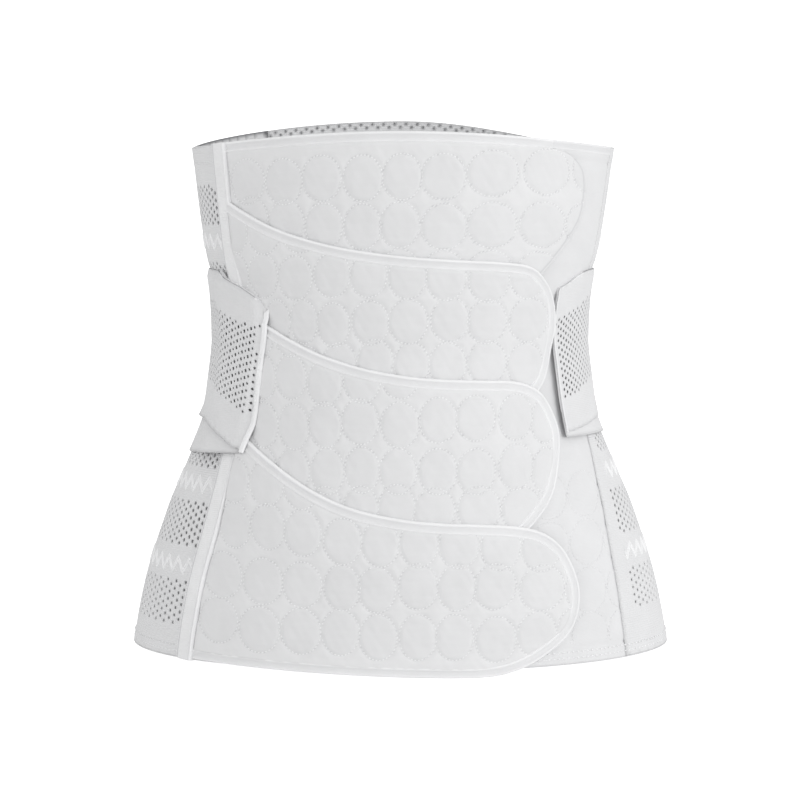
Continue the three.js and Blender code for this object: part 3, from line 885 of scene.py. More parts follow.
FOLDED = Section(
    ((0.0, 0.05), (0.0, 0.66), (0.05, 0.92), (0.15, 1.06), (0.25, 1.0), (0.34, 0.84),
     (0.5, 0.76), (0.66, 0.8), (0.76, 0.96), (0.85, 1.02), (0.94, 0.94), (1.0, 0.72),
     (1.0, 0.4), (0.99, 0.05), (0.5, 0.0)),
    channel=0.52,
    channel_width=0.36,
    shade_strength=0.2,
)
CHANNEL = Section(
    ((0.0, 0.1), (0.0, 0.62), (0.06, 0.86), (0.16, 0.95), (0.35, 1.0), (0.5, 1.0), (0.65, 0.97),
     (0.76, 0.9), (0.82, 0.8), (0.88, 0.82), (0.96, 0.7), (1.0, 0.4), (1.0, 0.05), (0.5, 0.0)),
    channel=0.84,
    channel_width=0.05,
    shade_strength=0.35,
)
CORD = Section((
    (0.0, 0.0), (0.0, 0.62), (0.14, 0.88), (0.5, 1.0), (0.86, 0.88), (1.0, 0.62), (1.0, 0.0),
    (0.5, 0.0),
))
NARROW = Section((
    (0.0, 0.05), (0.0, 0.6), (0.12, 0.95), (0.4, 1.1), (0.75, 1.05), (0.97, 0.85), (1.0, 0.4),
    (1.0, 0.05), (0.5, 0.0),
))


def tape(line: Array, width: float, wall: Array, under: Array, section: Section) -> Cloth:
    """A tape of some cross-section along a line, closed at both ends.

    Args:
        line: Rows of x and y of its outer edge. The tape lies to the right of its direction.
        width: Its width.
        wall: Its height, at each row of the line or the same at all.
        under: Distance out of its underside, at each row of the line.
        section: Its cross-section.

    Returns:
        The tape as flat cloth.
    """
    ring = section.loop()
    wall = np.broadcast_to(wall, len(line))
    line = line.copy()
    line[1] = line[0] + END_STEP * (line[1] - line[0])
    line[-2] = line[-1] + END_STEP * (line[-2] - line[-1])
    along, round_it = len(line) - 1, len(ring)
    made = Cloth.sheet(along, round_it)
    spread = [(vert.co.x * along, vert.co.y * round_it) for vert in made.mesh.verts]
    corners = [(round(x), round(y) % round_it) for x, y in spread]
    aside = inset(line, 1.0) - line
    # painted shade along the channel of the section
    off = (ring[:, 0] - section.channel) / section.channel_width
    darkening = section.shade_strength * np.exp(-(off**4))
    shade = made.mesh.verts.layers.float.new("shade")
    for vert, (i, j) in zip(made.mesh.verts, corners):
        vert[shade] = float(darkening[j])
        place = line[i] + aside[i] * width * ring[j, 0]
        vert.co = (place[0], place[1], under[i] + wall[i] * ring[j, 1])
    bmesh.ops.remove_doubles(made.mesh, verts=made.mesh.verts, dist=1e-5)
    rims = [edge for edge in made.mesh.edges if edge.is_boundary]
    bmesh.ops.holes_fill(made.mesh, edges=rims, sides=0)
    bmesh.ops.recalc_face_normals(made.mesh, faces=made.mesh.faces[:])
    return made


# ---- sizes shared by the pieces


@dataclass(frozen=True)
class Layers:
    """Walls, clearances and the distances out of the binder's layers, in millimetres."""

    cloth: float = 1.4
    pad: float = 1.8
    band: float = 1.0
    gap: float = 0.65
    seam: float = 0.3
    proud: float = 0.25
    overlap: float = 16.0
    overlap_spare: float = 2.0
    settle: float = 36.0

    @property
    def on_base(self) -> float:
        """Where the first layer on the base starts."""
        return self.cloth + self.gap

    @property
    def flap(self) -> float:
        """Height that one flap takes."""
        return self.pad + self.proud + self.gap

    def lift(self, down: Array) -> Array:
        """What a flap gains where it lies over the flap above, from its upper edge down."""
        reach = self.overlap + self.overlap_spare
        return self.flap * (1 - smoothstep(down, reach, reach + self.settle))


FORM = WornForm()
LAYERS = Layers()
CASING_LINE = (
    (-0.633, 1.03), (-0.632, 0.73), (-0.63, 0.39), (-0.612, 0), (-0.585, -0.35),
    (-0.574, -0.52), (-0.585, -0.75), (-0.593, -1.02),
)
RIGHT_SEAM = (
    (0.866, 1.03), (0.856, 0.41), (0.815, 0), (0.764, -0.31), (0.724, -0.44), (0.69, -0.6),
    (0.674, -0.76), (0.668, -1),
)
BACK_SEAM = 1.48
CASING_LAP = 6.0
BINDING_WIDTH = 5.7
PIPING_WIDTH = 1.8


def seam_across(rows: Sequence[tuple[float, float]], height: Array) -> Array:
    """Across of a seam, on a smooth curve through its rows.

    Args:
        rows: Rows of across and level, from the top down.
        height: Heights along the seam.

    Returns:
        The across at each height.
    """
    table = [Swell(level=level, side=across, front=0, back=0) for across, level in reversed(rows)]
    level = height / np.where(height > 0, FORM.rise, FORM.drop)
    return WornForm.column(table, level, "side")


def casing_across(height: Array) -> Array:
    """Across of the casing's right edge at some heights."""
    return seam_across(CASING_LINE, height)


def under_casing(height: Array) -> Array:
    """Across of the seam under the casing at some heights."""
    return casing_across(height) - CASING_LAP / FORM.arcs(height)[0]


def right_seam(height: Array) -> Array:
    """Across of the right seam at some heights."""
    return seam_across(RIGHT_SEAM, height)


def back_seam(side: float) -> Seam:
    """An upright seam of the back.

    Args:
        side: Its across.

    Returns:
        Its across at some heights.
    """

    def seam(height: Array) -> Array:
        """The same across at every height."""
        return np.full_like(height, side)

    return seam


def beside_casing(height: Array) -> Array:
    """Flat places beside the casing, where the flaps start.

    Args:
        height: Their heights.

    Returns:
        Rows of x and y.
    """
    places = FORM.place(casing_across(height), height)
    places[:, 0] += LAYERS.seam
    return places


# ---- base layer


@dataclass(frozen=True)
class NetBand:
    """A band of net round a panel, between two heights."""

    top: float
    bottom: float

    def holds(self, height: Array) -> Array:
        """Whether heights are in the band."""
        return (height < self.top) & (height > self.bottom)


@dataclass
class BaseLayer:
    """The panels next to the form: the front's base, two elastic sides and the back."""

    sewing: Sewing
    cell: float = 4.6
    hole: float = 0.9
    stretched: dict[Side, float] = field(default_factory=lambda: {Side.LEFT: 0.4, Side.RIGHT: 0.2})
    low_band: float = 0.86
    right_raise: float = 7.0
    hem: float = 9.0
    top_hem: float = 9.6
    rim_net: tuple[float, float] = (1.6, 6.0)
    rim_tape: float = 8.0
    bands: tuple[NetBand, ...] = (
        NetBand(92, 69), NetBand(47, -71.5), NetBand(-92, -117), NetBand(-137, -161),
    )
    base_rings: tuple[float, ...] = (-85, -112, -139, -164)
    base_ring_places: tuple[float, ...] = (62, 88, 114, 140)
    zigzags: tuple[float, ...] = (59.5, -81.2, -127.5)
    zigzag_height: float = 7.4
    zigzag_width: float = 4.4
    zigzag_pitch: float = 10.2
    zigzag_steps: int = 12
    fold: float = 0.3
    fold_slope: float = 0.8
    groove_width: tuple[float, float] = (1.2, 2.6)
    panel_groove: float = 0.2
    # painted shade on the inner skin round the net's holes: back panel, then side panels
    rims: tuple[float, float] = (0.3, 0.9)
    ring_radii: tuple[float, float] = (12.5, 12.7)
    front_cell: float = 1.5
    front_quilting: "Quilting" = field(
        default_factory=lambda: Quilting(0.18, 0.28, 0.9, 0.05, 0.03)
    )
    sunk_seam: float = 0.25
    # painted shade along the right seam
    seam_shade: float = 0.2
    ring_stitch: Stitch = Stitch(1.3, 0.4, 0.3)
    hem_stitch: Stitch = Stitch(2.1, 1.15, 0.7)
    left_hem_stitch: Stitch = Stitch(2.0, 0.6, 0.45)
    top_hem_stitch: Stitch = Stitch(1.7, 0.5, 0.4)
    hem_rows: tuple[float, float] = (2.0, 5.4)
    hem_tape: tuple[float, float] = (0.51, 0.862)
    hem_tape_width: float = 4.8
    hem_tape_wall: float = 0.55

    def panel_net(self, start: Seam, end: Seam, count: int = 200) -> Net:
        """Net of a panel between two seams.

        Args:
            start: The left seam, as an across from a height.
            end: The right seam.
            count: Steps of its edges.

        Returns:
            The net.
        """
        share = np.linspace(0, 1, count + 1)
        rise, low = np.array([FORM.rise]), np.array([-FORM.drop])
        top_across = start(rise)[0] + (end(rise)[0] - start(rise)[0]) * share
        low_across = start(low)[0] + (end(low)[0] - start(low)[0]) * share
        nudge = LAYERS.seam * (0.5 - share)
        top = FORM.place(top_across, FORM.top_edge(top_across))
        bottom = FORM.place(low_across, np.full_like(share, -FORM.drop))
        top[:, 0] += nudge
        bottom[:, 0] += nudge
        edges = []
        for seam, corner, aside in ((start, top[0], nudge[0]), (end, top[-1], nudge[-1])):
            heights = corner[1] + (-FORM.drop - corner[1]) * share
            edge = FORM.place(seam(heights), heights)
            edge[:, 0] += aside
            edge[0], edge[-1] = corner, (bottom[0] if seam is start else bottom[-1])
            edges.append(edge)
        return Net(top, bottom, edges[0], edges[1])

    def hemmed(self, flat: Array, below_top: Array, groove: float = 0.55) -> Array:
        """Distance out of a panel's outer skin, with thicker hems at its bottom and its top.

        Args:
            flat: Flat places of the corners.
            below_top: How far each lies below the top edge.
            groove: Depth of the groove along each hem.

        Returns:
            The distances.
        """
        up = flat[:, 1] + FORM.drop
        folds = 2 - smoothstep(up, self.hem - self.fold_slope, self.hem)
        folds -= smoothstep(below_top, self.top_hem - self.fold_slope, self.top_hem)
        width = self.groove_width[groove <= self.panel_groove]
        seams = bell(up - self.hem, width) + bell(below_top - self.top_hem, width)
        return LAYERS.cloth + self.fold * folds - groove * seams

    def finish(self, name: str, node: str, cloth: Cloth, net: Net, knit: ClothFinish) -> None:
        """Walls, wears and measures one panel.

        Args:
            name: Name of the piece.
            node: The solid that it stands for.
            cloth: Its flat cloth.
            net: Its net.
            knit: Its finish.
        """
        flat = cloth.flat()
        share = np.interp(flat[:, 0], net.top[:, 0], net.top[:, 1])
        below = np.abs(share - flat[:, 1])
        # painted shade round the holes, on the inner skin
        rims = self.rims[node != "back_panel"]
        cloth.wall(np.array(0.0), self.hemmed(flat, below, self.panel_groove), rims=rims)
        piece = self.sewing.wear(name, cloth.mesh, knit, Slot.KNIT, [node])
        self.sewing.sheet(piece, net)

    def raised(self, side: Optional[Side], x: Array, height: Array) -> Array:
        """How much higher the lower bands of the right panel lie near its front seam.

        Args:
            side: Side of the panel. The back has none.
            x: Lengths round the form.
            height: Heights.

        Returns:
            The rise at each place.
        """
        if side is not Side.RIGHT:
            return np.zeros(len(x))
        fade = 1 - smoothstep(FORM.across(x, height), 1.0, 1.4)
        return self.right_raise * fade * smoothstep(-height, 40, 60)

    def plain_strip(self, height: Array) -> Array:
        """Width of the plain strip beside the right seam at some heights."""
        return 9.5 + 3 * smoothstep(-height, 60, 100)

    def netted(self, net: Net, side: Optional[Side]) -> Cloth:
        """A panel's cloth with its bands of net.

        Args:
            net: The panel's net.
            side: Side of an elastic side panel. The back has none, and a row of holes more.

        Returns:
            The cloth.
        """
        widest = max(run_lengths(net.top)[-1], run_lengths(net.bottom)[-1])
        columns = round(widest / self.cell)
        rows = 2 * round(net.depth() / self.cell)
        cloth = Cloth.honeycomb(columns, rows).lay(net)

        def inside(x: Array, y: Array, down: Array) -> Array:
            """Which cells lie in a band, clear of the plain strip.

            Args:
                x: Lengths of their centres round the form.
                y: Their heights.
                down: Their shares down the panel.

            Returns:
                Whether each cell is opened.
            """
            level = y - self.raised(side, x, y)
            holds = np.any([band.holds(level) for band in self.bands], axis=0)
            if side is Side.RIGHT:
                seam = FORM.place(right_seam(y), y)[:, 0]
                return holds & (x > seam + self.plain_strip(y))
            below = down * net.depth()
            rim = (below > self.rim_net[0]) & (below < self.rim_net[1])
            return holds | (rim if side is None else False)

        def radius(across: float, down: float) -> float:
            """Radius of a hole, wider towards the front, where the cloth is stretched most.

            Args:
                across: Its share across the panel.
                down: Its share down the panel.

            Returns:
                The radius.
            """
            if side is None:
                return self.hole
            near = across if side is Side.LEFT else 1 - across
            wider = self.stretched[side] * float(smoothstep(np.array(near), 0.45, 1.0))
            return (self.hole + wider) * (self.low_band if down > 0.8 else 1.0)

        return cloth.open_net(inside, radius)

    def side(self, side: Side) -> None:
        """Builds one elastic side panel, with its bands of net and of zigzag.

        Args:
            side: Which one.
        """
        if side is Side.LEFT:
            net = self.panel_net(back_seam(-BACK_SEAM), under_casing)
        else:
            net = self.panel_net(right_seam, back_seam(BACK_SEAM))
        word = side.name.lower()
        cloth = self.netted(net, side)
        self.finish(f"elastic_side_{word}", f"side_panel_{word}", cloth, net, KNIT_CLOTH)
        self.zigzag(side, net)

    def zigzag(self, side: Side, net: Net) -> None:
        """Sews the raised bands of zigzag on a side panel.

        Args:
            side: Side of the panel.
            net: Its net.
        """
        whole = bmesh.new()
        for centre in self.zigzags:
            share = np.interp(-centre, -net.start[:, 1], np.linspace(0, 1, len(net.start)))
            ends = net.places(np.array([0.0, 1.0]), np.array([share, share]))[:, 0]
            if side is Side.RIGHT:
                ends[0] += self.plain_strip(np.array(centre)) - 1
            columns = round((ends[1] - ends[0]) / self.zigzag_pitch * self.zigzag_steps)
            strip = Cloth.sheet(columns, 14)
            spread = np.array([(v.co.x, v.co.y) for v in strip.mesh.verts])
            x = ends[0] + 0.5 + (ends[1] - ends[0] - 1) * spread[:, 0]
            wave = 2 * np.abs((x / self.zigzag_pitch) % 1 - 0.5) - 0.5
            y = centre + wave * self.zigzag_height + (spread[:, 1] - 0.5) * self.zigzag_width
            y += self.raised(side, x, np.full(len(x), centre))
            strip.move(np.stack([x, y], axis=1))
            ridges = 0.5 - 0.5 * np.cos(spread[:, 1] * 4 * math.pi)
            strip.wall(np.array(LAYERS.cloth - 0.3), LAYERS.cloth - 0.1 + 0.6 * ridges)
            part = bpy.data.meshes.new("zigzag_part")
            strip.mesh.to_mesh(part)
            strip.mesh.free()
            whole.from_mesh(part)
            bpy.data.meshes.remove(part)
        self.sewing.wear(f"zigzag_{side.name.lower()}", whole, THREAD, Slot.TAPE)

    def front(self) -> None:
        """Builds the front's base panel, which shows at the right of the flaps."""
        net = self.panel_net(under_casing, right_seam)
        columns, rows = round(net.width() / self.front_cell), round(net.depth() / self.front_cell)
        cloth = Cloth.sheet(columns, rows).lay(net)
        flat = cloth.flat()
        places = [(x, y) for y in self.base_rings for x in self.base_ring_places]
        discs = np.array([(*place, *self.ring_radii) for place in places])
        puff = self.front_quilting.relief(discs, flat[:, 0], flat[:, 1])
        soft = smoothstep(flat[:, 1], -FORM.drop + self.hem, -FORM.drop + self.hem + 4)
        soft *= smoothstep(-flat[:, 1], -FORM.rise + 8, -FORM.rise + 14)
        below = np.interp(flat[:, 0], net.top[:, 0], net.top[:, 1]) - flat[:, 1]
        high = self.hemmed(flat, below) + puff * soft * smoothstep(flat[:, 0], 40, 60)
        seam = FORM.place(right_seam(flat[:, 1]), flat[:, 1])[:, 0] - flat[:, 0]
        sunk = bell(seam, 1.0) * (1 - smoothstep(flat[:, 1], 0, 40))
        # painted shade along the right seam's gap, fading above the waist
        cloth.wall(np.array(0.0), high - self.sunk_seam * sunk, self.seam_shade * sunk)
        piece = self.sewing.wear(
            "front_base", cloth.mesh, BASE_CLOTH, Slot.KNIT, ["front_base_panel"]
        )
        self.sewing.sheet(piece, net)
        self.base_stitches(discs)

    def base_stitches(self, discs: Array) -> None:
        """Sews the rings of the front's base, which show at the right of the flaps.

        Args:
            discs: Rows of x, y and the two radii of each ring.
        """
        mesh = bmesh.new()
        for x, y, ru, rz in discs:
            turn = np.linspace(0, 2 * math.pi, 60)
            ring = np.stack([x + ru * np.cos(turn), y + rz * np.sin(turn)], axis=1)
            seam = FORM.place(right_seam(ring[:, 1]), ring[:, 1])[:, 0]
            kept = (ring[:, 0] < seam - 2) & (ring[:, 1] > -FORM.drop + self.hem + 2)
            for run in np.split(ring, np.flatnonzero(~kept)):
                run = run[1:] if len(run) and not kept[0] else run
                if len(run) > 3:
                    self.ring_stitch.run(mesh, run[1:], lambda spot: LAYERS.cloth - 0.05, 2.4)
        self.sewing.wear("stitches_base", mesh, THREAD, Slot.KNIT)

    def hem_stitches(self) -> None:
        """Sews the bottom hem's double row all round, and the top hem of the elastic panels."""
        mesh = bmesh.new()
        out = LAYERS.cloth + self.fold
        for first, last in ((0.3, 3.0), (-1.0, -0.66)):
            across = np.linspace(first, last, 900)
            edge = FORM.place(across, np.full(900, -FORM.drop))
            stitch = self.hem_stitch if first > 0 else self.left_hem_stitch
            for down in self.hem_rows:
                stitch.run(mesh, edge + np.array([0, self.hem - down]), lambda spot: out, 3.2)
            elastic = (across > 0.88) | (across < 0)
            edge = FORM.place(across, FORM.top_edge(across) - self.top_hem)[elastic]
            self.top_hem_stitch.run(mesh, edge, lambda spot: LAYERS.cloth + 0.05, 2.5)
        self.sewing.wear("stitches_hem", mesh, THREAD, Slot.KNIT)

    def front_hem(self) -> None:
        """Builds the narrow tape along the front's top edge, past the end of the top flap."""
        across = np.linspace(*self.hem_tape, 60)
        edge = FORM.place(across, FORM.top_edge(across) - 0.1)
        under = np.full(60, LAYERS.cloth - 0.05)
        made = tape(edge, self.hem_tape_width, self.hem_tape_wall, under, FOLDED)
        self.sewing.wear("hem_tape_front", made.mesh, CASING_CLOTH, Slot.KNIT)

    def back(self) -> None:
        """Builds the back panel, in one sheet past the back centre."""
        net = self.panel_net(back_seam(BACK_SEAM), back_seam(4 - BACK_SEAM))
        cloth = self.netted(net, None)
        self.finish("elastic_back", "back_panel", cloth, net, KNIT_CLOTH)
        down = np.array([0.0, self.rim_tape])
        top = net.top - np.array([0, 0.1])
        ends = [np.linspace(corner, corner - down, 9) for corner in (top[0], top[-1])]
        strip = Cloth.sheet(90, 8).lay(Net(top, top - down, ends[0], ends[1]))
        across = strip.shares[:, 1]
        high = LAYERS.cloth + 0.55 * (1 - (2 * across - 1) ** 6)
        # painted shade on the inner skin, which shows through the back rim's holes
        strip.wall(np.array(LAYERS.cloth - 0.15), high, inner=0.3)
        self.sewing.wear("rim_tape_back", strip.mesh, TAPE_CLOTH, Slot.TAPE)

    def build(self) -> None:
        """Builds the whole layer."""
        self.front()
        self.side(Side.LEFT)
        self.side(Side.RIGHT)
        self.back()
        self.hem_stitches()
        self.front_hem()


# ---- quilted flaps


@dataclass(frozen=True)
class Flap:
    """One quilted flap: its outline as rows of across and level, and its rows of rings."""

    word: str
    node: str
    upper: Rows
    end: Rows
    rings: tuple[Rows, ...]
    ring_rise: float
    seam: Optional[float] = None
    lower: Rows = ()
    lower_seam: Optional[float] = None

    def outline(self) -> tuple[Array, int, int]:
        """Its edge from the casing round its end.

        Returns:
            The edge as rows of x and y, and the steps of its shoulder and of its turn.
        """
        upper = FORM.places(self.upper)
        if self.seam is None:
            across = np.array([-0.45, -0.25, 0, 0.25, 0.4, 0.5])
            start = casing_across(np.array([FORM.rise]))
            run = FORM.place(across, FORM.top_edge(across) - BINDING_WIDTH + 0.8)
            first = beside_casing(FORM.top_edge(start) - BINDING_WIDTH + 0.8)
            upper = np.vstack([first, run, upper])
        else:
            upper = np.vstack([beside_casing(np.array([FORM.height(self.seam)])), upper])
        places = np.vstack([upper, FORM.places(self.end)])
        if self.lower:
            last = beside_casing(np.array([FORM.height(self.lower_seam)]))
            places = np.vstack([places, FORM.places(self.lower), last])
        line = spline(places)
        shoulder = int(np.argmin(np.linalg.norm(line - upper[-1], axis=1)))
        turned = len(line) - 1
        if self.lower:
            turn = FORM.places(self.lower[:1])[0]
            turned = int(np.argmin(np.linalg.norm(line - turn, axis=1)))
        return line, shoulder, turned

    def discs(self) -> Array:
        """Its sewn rings, with one more at each end of a row.

        Returns:
            Rows of x, y and the two radii of each ring.
        """
        found = []
        for row in self.rings:
            table = np.array(row)
            first, last = 2 * table[0] - table[1], 2 * table[-1] - table[-2]
            table = np.vstack([first, table, last])
            gaps = np.diff(table[:, 0])
            pitch = np.concatenate([gaps[:1], (gaps[1:] + gaps[:-1]) / 2, gaps[-1:]])
            radii = np.minimum(pitch * 0.49, self.ring_rise * 1.2)
            found.append(np.column_stack([table, radii, np.full(len(table), self.ring_rise)]))
        return np.vstack(found)


TOP_FLAP = Flap(
    "top",
    "quilted_flap_top",
    ((0.595, 0.955),),
    ((0.664, 0.882), (0.691, 0.784), (0.69, 0.673), (0.659, 0.575), (0.56, 0.4), (0.47, 0.275)),
    (
        ((-92, 94.5), (-67.8, 94.5), (-45.2, 96.4), (-22, 96.4), (-0.3, 97.3), (22.4, 97.3),
         (50.4, 99.2), (84.2, 100.1)),
        ((-66.3, 71.3), (-43.8, 69.7), (-22, 69.4), (-1.4, 70.4), (23.1, 69.4), (50.6, 70.2),
         (82.5, 70)),
        ((-45, 45), (-22, 44), (-1, 44), (23, 43), (50, 43), (80, 42)),
    ),
    12.9,
)
UPPER_FLAP = Flap(
    "upper",
    "quilted_flap_upper",
    ((-0.474, 0.612), (-0.346, 0.549), (-0.189, 0.497), (0, 0.461), (0.17, 0.443), (0.35, 0.429),
     (0.468, 0.404), (0.545, 0.335)),
    ((0.598, 0.232), (0.617, 0.11), (0.61, 0), (0.58, -0.085), (0.52, -0.15), (0.44, -0.19)),
    (
        ((-79, 66), (-57, 67), (-36, 68)),
        ((-80, 41), (-59.4, 40.2), (-37.9, 42.1), (-17.7, 42.3), (3.4, 41.4), (24.3, 40.6),
         (48.7, 39.2), (72.4, 40.7)),
        ((-71.3, 14.9), (-54.8, 15.3), (-37.3, 13.8), (-16.6, 15.2), (4.1, 15.9), (27.1, 16.8),
         (48.1, 15.5), (73.8, 15.8)),
        ((-34, -9), (-13.9, -6.9), (6.1, -8.5), (26.1, -8.7), (48.9, -8), (73, -10)),
    ),
    12.6,
    seam=0.722,
)
LOWER_FLAP = Flap(
    "lower",
    "quilted_flap_lower",
    ((-0.519, 0.112), (-0.413, 0.041), (-0.295, -0.018), (-0.145, -0.057), (0, -0.081),
     (0.13, -0.093), (0.28, -0.099), (0.43, -0.107), (0.525, -0.142)),
    ((0.572, -0.208), (0.582, -0.285), (0.543, -0.39), (0.487, -0.477), (0.4, -0.56),
     (0.3, -0.635)),
    (
        ((-82, 8), (-62, 8), (-42, 7)),
        ((-80, -17), (-61.8, -16.2), (-41.9, -19.2), (-21, -17)),
        ((-80.1, -44.3), (-60.8, -44.3), (-41.9, -42.7), (-22.2, -40.5), (-0.3, -42.1),
         (20.5, -39.5), (41.3, -38.8), (65.2, -38.9), (83.7, -41.7)),
        ((-61, -69), (-40.9, -68.6), (-21.3, -67.3), (-1.4, -68.1), (20.6, -68.2), (42.2, -68.7),
         (65.8, -66.8), (84.9, -69.7)),
        ((-22, -89), (-2.1, -88.1), (18.9, -90.3), (44, -89.9), (69.2, -90.9)),
    ),
    12.8,
    seam=0.168,
)
BOTTOM_FLAP = Flap(
    "bottom",
    "quilted_flap_bottom",
    ((-0.45, -0.349), (-0.317, -0.421), (-0.215, -0.468), (-0.121, -0.5), (0, -0.525),
     (0.116, -0.538), (0.235, -0.545), (0.35, -0.556), (0.435, -0.583), (0.49, -0.642)),
    ((0.514, -0.736), (0.508, -0.82), (0.476, -0.894), (0.41, -0.952), (0.32, -1.002)),
    (
        ((-98, -76), (-76, -76), (-55, -77)),
        ((-97, -101), (-75.2, -100.5), (-54.3, -103), (-31.7, -106.9), (-11, -108), (10, -108),
         (32, -109), (55.5, -110.7), (79.3, -112.6)),
        ((-104.3, -129.5), (-78.6, -131.3), (-55, -132), (-32.4, -132.9), (-13.1, -133.7),
         (9.6, -131.8), (31, -132.8), (52.5, -132.8), (80.1, -135)),
        ((-107, -155), (-80.7, -158.5), (-56, -158.1), (-33.4, -158), (-12.4, -160.4),
         (9.6, -160.4), (30, -160.7), (53.5, -162.6), (77.6, -161.1)),
    ),
    12.9,
    seam=-0.275,
    lower=((0.22, -1.022), (0.05, -1.018), (-0.16, -1.01), (-0.4, -1.001)),
    lower_seam=-0.994,
)


@dataclass(frozen=True)
class Quilting:
    """Relief of the padding between the sewn rings, in millimetres."""

    puff: float = 0.36
    groove: float = 0.38
    groove_width: float = 0.8
    between: float = 0.25
    crease: float = 0.06
    ring_darkening: float = 0.05

    def relief(self, discs: Array, x: Array, y: Array) -> Array:
        """Height over the plain pad.

        Args:
            discs: Rows of x, y and the two radii of each ring.
            x: Places along the cloth.
            y: Heights.

        Returns:
            The relief at those places.
        """
        nearest = np.full(len(x), 9.0)
        groove = np.zeros(len(x))
        for cx, cy, ru, rz in discs:
            r = np.hypot((x - cx) / ru, (y - cy) / rz)
            nearest = np.minimum(nearest, r)
            groove = np.maximum(groove, bell((r - 1) * min(ru, rz), self.groove_width))
        dome = np.clip(1 - nearest**4, 0, 1) ** 0.5
        height = np.where(nearest < 1, self.puff * dome, self.between * smoothstep(nearest, 1, 1.3))
        return height - self.groove * groove + self.creases(x, y)

    def tone(self, discs: Array, flat: Array) -> Array:
        """How much darker the cloth is painted: a little darker inside a ring.

        Args:
            discs: Rows of x, y and the two radii of each ring.
            flat: Flat places.

        Returns:
            The dullness at each place.
        """
        found = np.zeros(len(flat))
        for cx, cy, ru, rz in discs:
            r = np.hypot((flat[:, 0] - cx) / ru, (flat[:, 1] - cy) / rz)
            found = np.maximum(found, 1 - smoothstep(r, 0.9, 1.0))
        return found * self.ring_darkening

    def creases(self, x: Array, y: Array) -> Array:
        """Fine soft creases of the top cloth.

        Args:
            x: Places along the cloth.
            y: Heights.

        Returns:
            Their height at each place.
        """
        rng = np.random.default_rng(7)
        total = np.zeros(len(x))
        for _ in range(14):
            turn, phase = rng.uniform(0, math.pi), rng.uniform(0, 2 * math.pi)
            wave = 2 * math.pi / rng.uniform(4, 11)
            total += np.sin(wave * (x * math.cos(turn) + y * math.sin(turn)) + phase)
        return total * self.crease / 2


